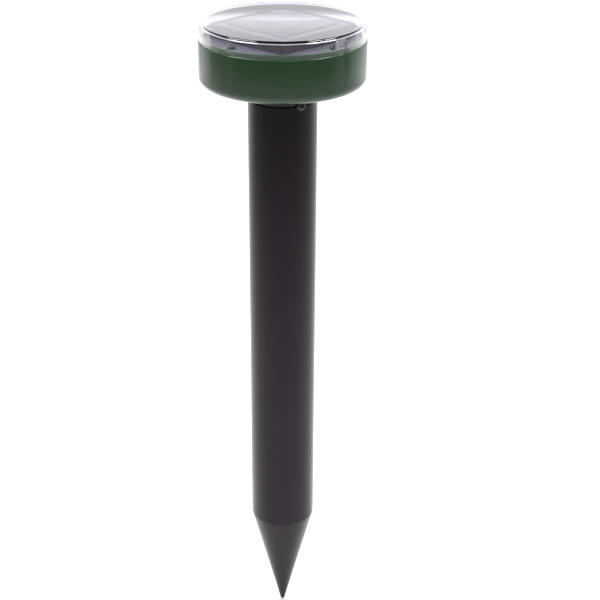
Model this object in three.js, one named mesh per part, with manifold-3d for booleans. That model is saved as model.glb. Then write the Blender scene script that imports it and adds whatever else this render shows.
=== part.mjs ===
// Solar ultrasonic pest repeller: a round head with a solar panel under a clear cover, on a
// hollow ground stake that carries the sound of a small loudspeaker into the soil.
//
// Millimetres, +Z up. The origin is on the stake's axis at the soil line, which is the flat
// underside of the head once the stake is pushed all the way in. -Y is the front.

import * as THREE from "three";
import { mergeVertices } from "three/addons/utils/BufferGeometryUtils.js";
import Module from "manifold-3d";

const wasm = await Module();
wasm.setup();

// ---------------------------------------------------------------- driving dimensions

const GAP = 0.3; // clearance between pieces that seat on or in each other
const TIGHT_GAP = GAP / 3; // the same between pieces that are screwed or soldered down
const ROOT = 0.5; // how far a boss, rib or tab runs into the wall that carries it
const THROUGH = 1; // how far a cutting tool runs past the face that it cuts
const ROUND = 56; // facets of the large round pieces
const SMALL_ROUND = 20; // facets of the small ones
const SPEAKER_ROUND = 36;

// Head housing: a cup with a neck that plugs into the stake.
const HEAD_RADIUS = 47.5;
const HOUSING_HEIGHT = 25.1;
const HOUSING_FILLET = 4.9;
const HOUSING_WALL = 2.4;
const FLOOR_THICKNESS = 2.2;
const RIM_DEPTH = 4.4; // the wall is thick this far below the seam
const LIP_HEIGHT = 2.5; // green lip that stands inside the clear cover
const LIP_WALL = 1.5;
const NECK_LENGTH = 22;
const NECK_WALL = 2.2;
const SEAT_DEPTH = 0.6; // shallow seat in the underside for the rim of the stake
const SOUND_HOLE_RADIUS = 14;

// Clear cover.
const COVER_WALL = 1.6;
const COVER_INSET = 0.2; // its wall stands this far inside the housing's
const COVER_HEIGHT = 10.1; // from the seam to the edge of the top
const COVER_TOP = 1.8;
const COVER_CROWN = 0.3;
const COVER_FILLET = 2.4;
const COVER_RIB_WIDTH = 7.5;
const COVER_RIB_DEPTH = 1.4;
const COVER_RIB_COUNT = 1;
const COVER_RIB_SPACE = 0.6; // between its top and the underside of the cover's top
const COVER_RIB_ANGLE = 43; // degrees to the right of the front
const GASKET_WIDTH = 0.6;
const GASKET_HEIGHT = 0.7;

// Stake.
const TUBE_RADIUS = 20;
const TUBE_WALL = 1.8;
const TUBE_LENGTH = 287.6;
const TUBE_RIM_ROUND = 0.5;
const SPIKE_LENGTH = 72;
const SPIKE_POINT_RADIUS = 1.2;
const SPIKE_HOLLOW = 45; // depth of the hollow inside the point
const SPIKE_SHOULDER = 1.6;
const RIM_GROOVE_DEPTH = 0.3; // a rolled groove round the tube on the line of its screws
const RIM_GROOVE_WIDTH = 2;
const NECK_SCREW_DEPTH = 8.5; // below the underside of the head
const NECK_SCREW_ANGLE = 30; // degrees to the right of the front
const NECK_SCREW_COUNT = 2;
const NECK_BOSS_WIDTH = 6;

// Solar panel and its tray. The panel lies cornerwise, one corner to the front.
const PANEL_SIDE = 44.4;
const PANEL_CORNER = 0.6;
const PANEL_BOARD = 1.2;
const CELL_COUNT = 4;
const CELL_MARGIN = 1.2;
const CELL_SPACING = 0.5;
const CELL_SPACE = 0.4; // between the board and the resin; the cell has TIGHT_GAP each side
const RESIN_THICKNESS = 0.3;
const TRAY_PLATE = 1.6;
const TRAY_SIDE = 58.6;
const TRAY_FRAME_WIDTH = 1.5;
const TRAY_FRAME_HEIGHT = 1.3;
const TRAY_CORNER_RADIUS = 2.2;
const TRAY_INNER_CORNER = 1;
const TRAY_LEAD_HOLE = { radius: 2, y: -12 };
const TRAY_TAB_COUNT = 4;
const TRAY_TAB_WIDTH = 9;
const TRAY_TAB_REACH = 10.5;
const TRAY_TAB_THICKNESS = 4.2;

// Main board.
const BOARD_WIDTH = 37;
const BOARD_LENGTH = 60;
const BOARD_THICKNESS = 1.6;
const BOARD_HEIGHT = 15.5; // underside of the board above the soil line
const BOARD_POST_X = 14.5;
const BOARD_POST_Y = 26;
const BOARD_POST_RADIUS = 2.6;
const BOARD_POST_SOLID = 4; // height of the post below the bottom of its hole

const CHIP = {
  x: 0, y: -8, length: 9.4, width: 6.4, standoff: 0.6, height: 3.6, pitch: 2.54, legs: 4,
  legWidth: 0.5, legDepth: 0.9,
};
const CAPACITOR = { x: 10, y: -12, radius: 3.15, height: 5.5, groove: 1.1, rim: 0.35 };
const INDUCTOR = { x: -9.5, y: 4, radius: 4, waist: 2.6, height: 4.8, flange: 0.9, slope: 0.4 };
const TRANSISTOR = { x: 9, y: 5, radius: 2.3, standoff: 1.2, height: 5.6, flat: 1.5, pitch: 1.27, leg: 0.45 };
const CONNECTOR = { x: -6, y: -24, length: 7.4, width: 5.6, height: 6, wall: 0.7, mouthDepth: 1.6 };

// Two AA cells, one each side of the loudspeaker.
const AA_RADIUS = 7.1;
const AA_LENGTH = 50.2;
const AA_BUTTON_RADIUS = 2.7;
const AA_BUTTON_HEIGHT = 1.4;
const AA_EDGE = 0.5;
const CELL_OFFSET = 27.2;
const CRADLE_BASE = 0.9;
const CRADLE_WIDTH = 12;
const CRADLE_LENGTH = 58.6;
const CRADLE_END = 1.2;
const CRADLE_END_HEIGHT = 12.4;
const SADDLE = { y: 15, length: 4, overhang: 1.4, drop: 3 };
const SPRING_WIRE = 0.45;
const SPRING_TURNS = 3.5;
const SPRING_FOOT = 4.4; // radius of its first turn
const SPRING_TIP = 2.5;
const CONTACT_THICKNESS = 0.4;
const CONTACT_SIZE = 9;
const CONTACT_TAB = { x: -3, width: 2.2, top: 6.4 };

// Loudspeaker, facing down into the stake.
const SPEAKER_RADIUS = 18;
const SPEAKER_FOAM = 0.8;
const SPEAKER_FLANGE_WIDTH = 2.6;
const BASKET_DEPTH = 5.6;
const BASKET_SHEET = 0.8;
const BASKET_SIDE = 2.4; // height of its upright side
const BASKET_BACK_RADIUS = 10.4;
const BASKET_CLEARANCE = 1; // round the voice coil
const BASKET_WINDOW = { radius: 13.4, width: 7, reach: 6, top: 1.4 };
const POLE_PLATE_STEP = 0.6; // the steel plates end this far inside the magnet's rim
const FRONT_PLATE_THICKNESS = 1.0;
const MAGNET_RADIUS = 9.6;
const MAGNET_BORE = 5.6;
const MAGNET_THICKNESS = 2.6;
const YOKE_THICKNESS = 1.0;
const POLE_RADIUS = 3.1;
const COIL_RADIUS = 3.55; // inside of the voice coil
const COIL_THICKNESS = 0.35;
const COIL_CLEARANCE = 0.4;
const SURROUND_WIDTH = 2; // of the cone's flexible edge
const CONE_DEPTH = 3.0;
const CONE_THICKNESS = 0.4;
const CONE_RISE = 1.4; // of the cone's rim above the basket's flange
const DUST_CAP_DEPTH = 0.8;
const COIL_REACH = 0.8; // of the voice coil past the front plate
const SURROUND_SHEET = 0.3;

// Power switch, in a pocket in the underside of the head at the back.
const SWITCH_Y = 37.5;
const SWITCH_TRAVEL = 2.5;
const SWITCH_LENGTH = 12;
const SWITCH_WIDTH = 5.6;
const SWITCH_HEIGHT = 5;
const SWITCH_EAR_LENGTH = 19;
const SWITCH_EAR_THICKNESS = 0.6;
const SWITCH_PIN = { pitch: 3, width: 0.9, thickness: 0.4, length: 2.4 };
const KNOB_LENGTH = 3;
const KNOB_WIDTH = 2.4;
const KNOB_RECESS = 0.6; // the knob ends this far above the soil line
const KNOB_REACH = 1.3; // how far the knob reaches into its housing
const KNOB_GROOVE = { spacing: 0.8, width: 0.35, depth: 0.35 };
const POCKET_LENGTH = 15;
const POCKET_WIDTH = 8;
const POCKET_DEPTH = 2.7;

// Fasteners and leads.
const NECK_SCREW = { head: 2.8, dome: 1.9, shank: 1.25, length: 8 };
const BOARD_SCREW = { head: 2.3, dome: 1.5, shank: 0.85, length: 6.5 };
const TRAY_SCREW = { head: 2.4, dome: 1.5, shank: 0.95, length: 5.6 };
const SWITCH_SCREW = { head: 1.6, dome: 1.0, shank: 0.7, length: 2.2 };
const LEAD_RADIUS = 0.55;

// ---------------------------------------------------------------- sizes that follow

const housingInside = HEAD_RADIUS - HOUSING_WALL;
const coverOutside = HEAD_RADIUS - COVER_INSET;
const coverInside = coverOutside - COVER_WALL;
const lipOutside = coverInside - GAP;
const lipInside = lipOutside - LIP_WALL;
const coverEdgeZ = HOUSING_HEIGHT + COVER_HEIGHT;
const coverUndersideZ = coverEdgeZ - COVER_TOP;
const tubeInside = TUBE_RADIUS - TUBE_WALL;
const neckOutside = tubeInside - GAP;
const neckInside = neckOutside - NECK_WALL;
const tubeTopZ = SEAT_DEPTH - GAP;
const spikeTopZ = tubeTopZ - TUBE_LENGTH;
const seatRadius = TUBE_RADIUS + 2 * GAP;
const pocketRoofZ = POCKET_DEPTH + FLOOR_THICKNESS;
const trayTabTopZ = HOUSING_HEIGHT - GAP;
const trayPlateZ = trayTabTopZ + GAP / 2;
const resinTopZ = coverUndersideZ - GAP;
const cellTopZ = resinTopZ - RESIN_THICKNESS;
const panelBoardTopZ = cellTopZ - CELL_SPACE;
const trayBedZ = panelBoardTopZ - PANEL_BOARD;
const boardTopZ = BOARD_HEIGHT + BOARD_THICKNESS;
const cradleZ = FLOOR_THICKNESS + GAP / 2;
const cellAxisZ = cradleZ + CRADLE_BASE + GAP + AA_RADIUS;
const cradleEndInside = CRADLE_LENGTH / 2 - CRADLE_END;
const flangeZ = FLOOR_THICKNESS + SPEAKER_FOAM + GAP / 2;
const basketBackZ = flangeZ + BASKET_DEPTH;
const frontPlateZ = basketBackZ + GAP / 2;
const magnetZ = frontPlateZ + FRONT_PLATE_THICKNESS + GAP / 2;
const yokeZ = magnetZ + MAGNET_THICKNESS + GAP / 2;
const basketInside = SPEAKER_RADIUS - SPEAKER_FLANGE_WIDTH;
const coneRadius = basketInside - SURROUND_WIDTH;
const coneRimZ = flangeZ + CONE_RISE;
const coilOutside = COIL_RADIUS + COIL_THICKNESS;
const coneApexZ = coneRimZ + CONE_DEPTH;

// ---------------------------------------------------------------- solids

// A three.js geometry as a manifold-3d solid with its faces pointing out.
function solid(geometry) {
  const bare = geometry.index ? geometry.toNonIndexed() : geometry.clone();
  bare.deleteAttribute("normal");
  bare.deleteAttribute("uv");
  const merged = mergeVertices(bare, 1e-4);
  const index = merged.index.array;
  const kept = [];
  for (let i = 0; i < index.length; i += 3) {
    const [a, b, c] = [index[i], index[i + 1], index[i + 2]];
    if (a !== b && b !== c && c !== a) kept.push(a, b, c);
  }
  const build = (triVerts) =>
    new wasm.Manifold(
      new wasm.Mesh({
        numProp: 3,
        vertProperties: merged.attributes.position.array,
        triVerts: new Uint32Array(triVerts),
      }),
    );
  const made = build(kept);
  return made.volume() < 0 ? build(kept.reverse()) : made;
}

// The solid's triangles as a three.js geometry.
function geometryOf(made) {
  const { numProp, numVert, vertProperties, triVerts } = made.getMesh();
  const position = new Float32Array(numVert * 3);
  for (let i = 0; i < numVert; i++) {
    position.set(vertProperties.subarray(i * numProp, i * numProp + 3), i * 3);
  }
  const geometry = new THREE.BufferGeometry();
  geometry.setAttribute("position", new THREE.BufferAttribute(position, 3));
  geometry.setIndex(new THREE.BufferAttribute(triVerts, 1));
  geometry.computeVertexNormals();
  return geometry;
}

function join(...solids) {
  return solids.reduce((whole, next) => whole.add(next));
}

function cut(base, ...tools) {
  return tools.reduce((whole, tool) => whole.subtract(tool), base);
}

// A turned solid about Z. Points are [radius, z]; the outline closes on itself or on the axis.
function turned(points, facets = ROUND) {
  const outline = points.map(([r, z]) => new THREE.Vector2(r, z));
  const onAxis = points[0][0] === 0 && points.at(-1)[0] === 0;
  if (!onAxis) outline.push(outline[0].clone());
  return solid(new THREE.LatheGeometry(outline, facets).rotateX(Math.PI / 2));
}

// Points of a quarter round, from angle a to angle b in degrees about [r, z].
function arc(r, z, radius, a, b, steps) {
  return Array.from({ length: steps + 1 }, (_, i) => {
    const t = THREE.MathUtils.degToRad(a + ((b - a) * i) / steps);
    return [r + radius * Math.cos(t), z + radius * Math.sin(t)];
  });
}

function ring(inside, outside, bottom, top, facets = ROUND) {
  return turned([[inside, bottom], [outside, bottom], [outside, top], [inside, top]], facets);
}

function disc(radius, bottom, top, facets = SMALL_ROUND) {
  return turned([[0, bottom], [radius, bottom], [radius, top], [0, top]], facets);
}

// A box centred on x and y that stands from bottom to top.
function block(x, y, bottom, top, width, depth) {
  const height = top - bottom;
  return solid(new THREE.BoxGeometry(width, depth, height)).translate(x, y, bottom + height / 2);
}

// A square plate with rounded corners, lying cornerwise.
function cornerwisePlate(side, radius, bottom, top, stepsPerCorner = 4) {
  const half = side / 2 - radius;
  const shape = new THREE.Shape();
  [[half, half], [-half, half], [-half, -half], [half, -half]].forEach(([x, y], corner) => {
    const start = (corner * Math.PI) / 2;
    shape.absarc(x, y, radius, start, start + Math.PI / 2, false);
  });
  const options = { depth: top - bottom, bevelEnabled: false, curveSegments: stepsPerCorner };
  return solid(new THREE.ExtrudeGeometry(shape, options)).rotate(0, 0, 45).translate(0, 0, bottom);
}

// Moves a solid that points along -Y at the front to an angle to the right of the front.
function turnedToRight(made, degrees) {
  return made.rotate(0, 0, degrees);
}

// A pan-head screw standing on z = 0, its shank down, with a cross recess in its head.
function screw({ head, dome, shank, length }) {
  const profile = [
    [0, -length],
    [shank * 0.35, -length],
    [shank, -length + shank * 1.6],
    [shank, 0],
    [head, 0],
    [head, dome * 0.45],
    [head * 0.8, dome * 0.86],
    [head * 0.45, dome],
    [0, dome],
  ];
  const slot = (angle) =>
    block(0, 0, dome * 0.35, dome * 1.2, head * 1.15, head * 0.28).rotate(0, 0, angle);
  return cut(turned(profile, 12), slot(0), slot(90));
}

// A lead along a smooth curve through the points.
function lead(points) {
  const path = new THREE.CatmullRomCurve3(points.map((p) => new THREE.Vector3(...p)));
  const section = new THREE.Shape().absarc(0, 0, LEAD_RADIUS, 0, Math.PI * 2, false);
  const options = { steps: 16, extrudePath: path, curveSegments: 4 };
  return solid(new THREE.ExtrudeGeometry(section, options));
}

// A contact spring along +Y from its wide foot at y = 0.
function contactSpring(length) {
  class Coil extends THREE.Curve {
    getPoint(t, target = new THREE.Vector3()) {
      const angle = t * SPRING_TURNS * 2 * Math.PI;
      const radius = SPRING_FOOT + (SPRING_TIP - SPRING_FOOT) * t;
      const along = SPRING_WIRE + t * (length - 2 * SPRING_WIRE);
      return target.set(radius * Math.cos(angle), along, radius * Math.sin(angle));
    }
  }
  const section = new THREE.Shape().absarc(0, 0, SPRING_WIRE, 0, Math.PI * 2, false);
  const options = { steps: 42, extrudePath: new Coil(), curveSegments: 3 };
  return solid(new THREE.ExtrudeGeometry(section, options));
}

// ---------------------------------------------------------------- head

// Angles, in degrees to the right of the front, of a number of evenly spread features.
function spread(count, first) {
  return Array.from({ length: count }, (_, i) => first + (i * 360) / count);
}

const neckScrewAngles = spread(NECK_SCREW_COUNT, NECK_SCREW_ANGLE);
const trayTabAngles = spread(TRAY_TAB_COUNT, 180 / TRAY_TAB_COUNT);
const trayScrewRadius = lipInside - TRAY_TAB_REACH / 2;
const boardCorners = [[-1, -1], [1, -1], [1, 1], [-1, 1]];
const switchEarX = (SWITCH_LENGTH + SWITCH_EAR_LENGTH) / 4;
const knobSlot = [SWITCH_TRAVEL + KNOB_LENGTH + 2 * GAP, KNOB_WIDTH + 2 * GAP];

// The radial hole for a neck screw, from the axis out through the tube.
function neckScrewHole(radius, from, to) {
  return disc(radius, from, to).rotate(90, 0, 0).translate(0, 0, -NECK_SCREW_DEPTH);
}

function headHousing() {
  const rimZ = HOUSING_HEIGHT - RIM_DEPTH;
  const grooveInside = lipOutside + GAP * 2;
  const grooveOutside = grooveInside + GASKET_WIDTH + GAP;
  const grooveZ = HOUSING_HEIGHT - GASKET_HEIGHT - GAP / 2;
  const shell = turned([
    [SOUND_HOLE_RADIUS, FLOOR_THICKNESS],
    [housingInside, FLOOR_THICKNESS],
    [housingInside, rimZ],
    [lipInside, rimZ + housingInside - lipInside],
    [lipInside, HOUSING_HEIGHT + LIP_HEIGHT],
    [lipOutside, HOUSING_HEIGHT + LIP_HEIGHT],
    [lipOutside, HOUSING_HEIGHT],
    [grooveInside, HOUSING_HEIGHT],
    [grooveInside, grooveZ],
    [grooveOutside, grooveZ],
    [grooveOutside, HOUSING_HEIGHT],
    [HEAD_RADIUS, HOUSING_HEIGHT],
    ...arc(HEAD_RADIUS - HOUSING_FILLET, HOUSING_FILLET, HOUSING_FILLET, 0, -90, 6),
    [seatRadius, 0],
    [seatRadius, SEAT_DEPTH],
    [neckOutside, SEAT_DEPTH],
    [neckOutside, -NECK_LENGTH],
    [neckInside, -NECK_LENGTH],
    [neckInside, 0],
    [SOUND_HOLE_RADIUS, 0],
  ]);
  const posts = boardCorners.map(([sx, sy]) =>
    disc(BOARD_POST_RADIUS, FLOOR_THICKNESS - ROOT, BOARD_HEIGHT - GAP / 2)
      .translate(sx * BOARD_POST_X, sy * BOARD_POST_Y, 0));
  const tabCentre = housingInside + ROOT - (TRAY_TAB_REACH + ROOT) / 2;
  const tabs = trayTabAngles.map((angle) =>
    turnedToRight(
      block(0, -tabCentre, trayTabTopZ - TRAY_TAB_THICKNESS, trayTabTopZ,
        TRAY_TAB_WIDTH, TRAY_TAB_REACH + ROOT),
      angle));
  const bossDepth = NECK_SCREW.length - TUBE_WALL;
  const bosses = neckScrewAngles.map((angle) =>
    turnedToRight(
      block(0, -(neckOutside - ROOT - bossDepth / 2), -NECK_SCREW_DEPTH - NECK_BOSS_WIDTH / 2,
        -NECK_SCREW_DEPTH + NECK_BOSS_WIDTH / 2, NECK_BOSS_WIDTH, bossDepth),
      angle));
  const switchPad = block(0, SWITCH_Y, FLOOR_THICKNESS - ROOT, pocketRoofZ,
    SWITCH_EAR_LENGTH + 2 * ROOT, POCKET_WIDTH + 4 * ROOT);

  const postHoles = boardCorners.map(([sx, sy]) =>
    disc(BOARD_SCREW.shank + GAP / 2, FLOOR_THICKNESS + BOARD_POST_SOLID, BOARD_HEIGHT + THROUGH, 12)
      .translate(sx * BOARD_POST_X, sy * BOARD_POST_Y, 0));
  const tabHoles = trayTabAngles.map((angle) =>
    turnedToRight(
      disc(TRAY_SCREW.shank + GAP / 2, rimZ - 2 * THROUGH, HOUSING_HEIGHT, 12)
        .translate(0, -trayScrewRadius, 0),
      angle));
  const bossHoles = neckScrewAngles.map((angle) =>
    turnedToRight(neckScrewHole(NECK_SCREW.shank + 2 * TIGHT_GAP, neckInside / 2, TUBE_RADIUS), angle));
  const pocket = block(0, SWITCH_Y, -THROUGH, POCKET_DEPTH, POCKET_LENGTH, POCKET_WIDTH);
  const slot = block(0, SWITCH_Y, POCKET_DEPTH - THROUGH, pocketRoofZ + THROUGH, ...knobSlot);
  const switchHoles = [-1, 1].map((side) =>
    disc(SWITCH_SCREW.shank + TIGHT_GAP, pocketRoofZ - 2 * THROUGH, pocketRoofZ + THROUGH, 12)
      .translate(side * switchEarX, SWITCH_Y, 0));
  return cut(join(shell, ...posts, ...tabs, ...bosses, switchPad),
    ...postHoles, ...tabHoles, ...bossHoles, pocket, slot, ...switchHoles);
}

function coverGasket() {
  const inside = lipOutside + GAP * 2.5;
  const bottom = HOUSING_HEIGHT - GASKET_HEIGHT;
  return ring(inside, inside + GASKET_WIDTH, bottom, HOUSING_HEIGHT);
}

function clearCover() {
  const bottom = HOUSING_HEIGHT + TIGHT_GAP;
  const filletRadius = coverOutside - COVER_FILLET;
  const innerFillet = COVER_FILLET - COVER_WALL;
  const crownSteps = 3;
  // The top rises from its edge to the crown as a shallow parabola.
  const crown = (edgeRadius, edgeZ) =>
    Array.from({ length: crownSteps + 1 }, (_, i) => {
      const r = edgeRadius * (1 - i / crownSteps);
      return [r, edgeZ + COVER_CROWN * (1 - (r / edgeRadius) ** 2)];
    });
  const outer = [
    [coverOutside, bottom],
    ...arc(filletRadius, coverEdgeZ - COVER_FILLET, COVER_FILLET, 0, 75, 5),
    ...crown(filletRadius, coverEdgeZ),
  ];
  const inner = [
    [coverInside, bottom],
    ...arc(coverInside - innerFillet, coverUndersideZ - innerFillet, innerFillet, 0, 60, 2),
    ...crown(coverInside - innerFillet, coverUndersideZ),
  ];
  const shell = turned([...inner.reverse(), ...outer]);
  const ribs = spread(COVER_RIB_COUNT, COVER_RIB_ANGLE).map((angle) =>
    turnedToRight(
      block(0, -(coverInside + ROOT - COVER_RIB_DEPTH / 2), HOUSING_HEIGHT + LIP_HEIGHT + GAP,
        coverUndersideZ - COVER_RIB_SPACE, COVER_RIB_WIDTH, COVER_RIB_DEPTH),
      angle));
  return join(shell, ...ribs);
}

function panelTray() {
  const bottom = trayPlateZ;
  const frameTop = trayBedZ + TRAY_FRAME_HEIGHT;
  const frameInside = TRAY_SIDE - 2 * TRAY_FRAME_WIDTH;
  const plate = disc(lipInside - GAP, bottom, bottom + TRAY_PLATE, ROUND);
  const plinth = cornerwisePlate(TRAY_SIDE, TRAY_CORNER_RADIUS, bottom, frameTop);
  const bed = cornerwisePlate(frameInside, TRAY_INNER_CORNER, trayBedZ, frameTop + THROUGH);
  const hollow = cornerwisePlate(TRAY_SIDE - 2 * TRAY_PLATE, TRAY_INNER_CORNER, bottom - THROUGH,
    trayBedZ - TRAY_PLATE);
  const leadHole = disc(TRAY_LEAD_HOLE.radius, bottom, trayBedZ + THROUGH, 16)
    .translate(0, TRAY_LEAD_HOLE.y, 0);
  const screwHoles = trayTabAngles.map((angle) =>
    turnedToRight(
      disc(TRAY_SCREW.shank + GAP, bottom - THROUGH, bottom + TRAY_PLATE + THROUGH, 12)
        .translate(0, -trayScrewRadius, 0),
      angle));
  return cut(join(plate, plinth), bed, hollow, leadHole, ...screwHoles);
}

function solarBoard() {
  return cornerwisePlate(PANEL_SIDE, PANEL_CORNER, trayBedZ + TIGHT_GAP, panelBoardTopZ, 2);
}

// One strip cell, counted across the board.
function solarCell(index) {
  const span = PANEL_SIDE - 2 * CELL_MARGIN;
  const width = (span - (CELL_COUNT - 1) * CELL_SPACING) / CELL_COUNT;
  const across = -span / 2 + width / 2 + index * (width + CELL_SPACING);
  const made = block(across, 0, panelBoardTopZ + TIGHT_GAP, cellTopZ - TIGHT_GAP, width, span);
  return made.rotate(0, 0, 45);
}

function panelResin() {
  return cornerwisePlate(PANEL_SIDE, PANEL_CORNER, cellTopZ, resinTopZ, 2);
}

// ---------------------------------------------------------------- electronics

function mainBoard() {
  const plate = block(0, 0, BOARD_HEIGHT, boardTopZ, BOARD_WIDTH, BOARD_LENGTH);
  const holes = boardCorners.map(([sx, sy]) =>
    disc(BOARD_SCREW.shank + GAP, BOARD_HEIGHT - THROUGH, boardTopZ + THROUGH, 12)
      .translate(sx * BOARD_POST_X, sy * BOARD_POST_Y, 0));
  return cut(plate, ...holes);
}

const onBoard = boardTopZ + TIGHT_GAP;

function controllerChip() {
  const { x, y, length, width, standoff, height, pitch, legs, legWidth, legDepth } = CHIP;
  const body = block(x, y, onBoard + standoff, onBoard + height, length, width);
  const row = Array.from({ length: legs }, (_, i) => x + (i - (legs - 1) / 2) * pitch);
  const legOffset = (width + legDepth) / 2 - TIGHT_GAP;
  const made = row.flatMap((legX) =>
    [-1, 1].map((side) =>
      block(legX, y + side * legOffset, onBoard, onBoard + (standoff + height) / 2, legWidth, legDepth)));
  return join(body, ...made);
}

function capacitor() {
  const { x, y, radius, height, groove, rim } = CAPACITOR;
  return turned([
    [0, 0],
    [radius - rim / 2, 0],
    [radius, rim],
    [radius, groove - rim / 2],
    [radius - rim / 2, groove],
    [radius, groove + rim / 2],
    [radius, height - rim],
    [radius - rim, height],
    [0, height],
  ], SMALL_ROUND).translate(x, y, onBoard);
}

function inductor() {
  const { x, y, radius, waist, height, flange, slope } = INDUCTOR;
  return turned([
    [0, 0],
    [radius, 0],
    [radius, flange],
    [waist, flange + slope],
    [waist, height - flange - slope],
    [radius, height - flange],
    [radius, height],
    [0, height],
  ], SMALL_ROUND).translate(x, y, onBoard);
}

function transistor() {
  const { x, y, radius, standoff, height, flat, pitch, leg } = TRANSISTOR;
  const body = cut(disc(radius, onBoard + standoff, onBoard + height),
    block(0, -(flat + radius) / 2 - ROOT, onBoard, onBoard + height + THROUGH,
      3 * radius, radius - flat + 2 * ROOT));
  const legs = [-pitch, 0, pitch].map((dx) =>
    block(dx, 0, onBoard, onBoard + standoff + TIGHT_GAP, leg, leg));
  return join(body, ...legs).translate(x, y, 0);
}

function panelConnector() {
  const { x, y, length, width, height, wall, mouthDepth } = CONNECTOR;
  const shell = block(x, y, onBoard, onBoard + height, length, width);
  const mouth = block(x, y, onBoard + height - mouthDepth, onBoard + height + THROUGH,
    length - 2 * wall, width - 2 * wall);
  return cut(shell, mouth);
}

// ---------------------------------------------------------------- batteries

function batteryCradle() {
  const bottom = cradleZ;
  const base = block(0, 0, bottom, bottom + CRADLE_BASE, CRADLE_WIDTH, CRADLE_LENGTH);
  const ends = [-1, 1].map((side) =>
    block(0, side * (CRADLE_LENGTH - CRADLE_END) / 2, bottom, bottom + CRADLE_END_HEIGHT,
      CRADLE_WIDTH, CRADLE_END));
  const { y, length, overhang, drop } = SADDLE;
  const saddles = [-y, y].map((at) =>
    block(0, at, bottom, cellAxisZ - drop, CRADLE_WIDTH + overhang, length));
  const bore = disc(AA_RADIUS + GAP, -CRADLE_LENGTH, CRADLE_LENGTH, 28)
    .rotate(90, 0, 0).translate(0, 0, cellAxisZ);
  const seats = cut(join(base, ...saddles), bore);
  return join(seats, ...ends);
}

// An AA cell along +Y, its button end at +Y, between its contacts.
function batteryCell() {
  const buttonEnd = cradleEndInside - CONTACT_THICKNESS - GAP * 1.5;
  const shoulder = buttonEnd - AA_BUTTON_HEIGHT;
  const foot = buttonEnd - AA_LENGTH;
  return turned([
    [0, foot],
    [AA_RADIUS - AA_EDGE, foot],
    [AA_RADIUS, foot + AA_EDGE],
    [AA_RADIUS, shoulder - AA_EDGE],
    [AA_RADIUS - AA_EDGE, shoulder],
    [AA_BUTTON_RADIUS, shoulder],
    [AA_BUTTON_RADIUS, buttonEnd],
    [0, buttonEnd],
  ], 28).rotate(-90, 0, 0).translate(0, 0, cellAxisZ);
}

// The flat contact at the button end, with a solder tab at its top.
function buttonContact() {
  const y = cradleEndInside - GAP / 2 - CONTACT_THICKNESS / 2;
  const plate = block(0, y, cellAxisZ - CONTACT_SIZE / 2, cellAxisZ + CONTACT_SIZE / 2,
    CONTACT_SIZE, CONTACT_THICKNESS);
  const tab = block(CONTACT_TAB.x, y, cellAxisZ + CONTACT_SIZE / 2 - ROOT, cellAxisZ + CONTACT_TAB.top,
    CONTACT_TAB.width, CONTACT_THICKNESS);
  return join(plate, tab);
}

function springContact() {
  const length = 2 * cradleEndInside - GAP * 1.5 - CONTACT_THICKNESS - AA_LENGTH - GAP;
  return contactSpring(length).translate(0, -cradleEndInside + GAP / 2, cellAxisZ);
}

// ---------------------------------------------------------------- loudspeaker

function speakerFoam() {
  return ring(basketInside, SPEAKER_RADIUS, FLOOR_THICKNESS + GAP / 6, FLOOR_THICKNESS + SPEAKER_FOAM,
    SPEAKER_ROUND);
}

function speakerBasket() {
  const shell = turned([
    [basketInside, flangeZ],
    [SPEAKER_RADIUS, flangeZ],
    [SPEAKER_RADIUS, flangeZ + BASKET_SHEET],
    [basketInside + BASKET_SHEET, flangeZ + BASKET_SHEET],
    [basketInside + BASKET_SHEET, flangeZ + BASKET_SIDE],
    [BASKET_BACK_RADIUS, basketBackZ],
    [coilOutside + BASKET_CLEARANCE, basketBackZ],
    [coilOutside + BASKET_CLEARANCE, basketBackZ - BASKET_SHEET],
    [BASKET_BACK_RADIUS - BASKET_SHEET / 2, basketBackZ - BASKET_SHEET],
    [basketInside, flangeZ + BASKET_SIDE - BASKET_SHEET / 4],
  ], SPEAKER_ROUND);
  const { radius, width, reach, top } = BASKET_WINDOW;
  const windows = spread(4, 45).map((angle) =>
    turnedToRight(
      block(0, -radius, flangeZ + BASKET_SIDE, basketBackZ - top, width, reach), angle));
  return cut(shell, ...windows);
}

function speakerFrontPlate() {
  return ring(coilOutside + COIL_CLEARANCE, MAGNET_RADIUS - POLE_PLATE_STEP, frontPlateZ,
    frontPlateZ + FRONT_PLATE_THICKNESS, SPEAKER_ROUND);
}

function speakerMagnet() {
  return ring(MAGNET_BORE, MAGNET_RADIUS, magnetZ, magnetZ + MAGNET_THICKNESS, SPEAKER_ROUND);
}

function speakerYoke() {
  return turned([
    [0, frontPlateZ],
    [POLE_RADIUS, frontPlateZ],
    [POLE_RADIUS, yokeZ],
    [MAGNET_RADIUS - POLE_PLATE_STEP, yokeZ],
    [MAGNET_RADIUS - POLE_PLATE_STEP, yokeZ + YOKE_THICKNESS],
    [0, yokeZ + YOKE_THICKNESS],
  ], SPEAKER_ROUND);
}

// The paper cone with its dust cap, thin walled and open to the front.
function speakerCone() {
  const shoulder = coilOutside * 0.6;
  return turned([
    [0, coneApexZ - CONE_THICKNESS - DUST_CAP_DEPTH],
    [shoulder, coneApexZ - CONE_THICKNESS - DUST_CAP_DEPTH * 0.6],
    [coilOutside, coneApexZ - CONE_THICKNESS],
    [coneRadius, coneRimZ],
    [coneRadius, coneRimZ + CONE_THICKNESS],
    [coilOutside, coneApexZ],
    [shoulder, coneApexZ - DUST_CAP_DEPTH * 0.6],
    [0, coneApexZ - DUST_CAP_DEPTH],
  ], SPEAKER_ROUND);
}

function voiceCoil() {
  return ring(COIL_RADIUS, coilOutside, coneApexZ + TIGHT_GAP,
    frontPlateZ + FRONT_PLATE_THICKNESS + COIL_REACH, SMALL_ROUND);
}

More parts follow.
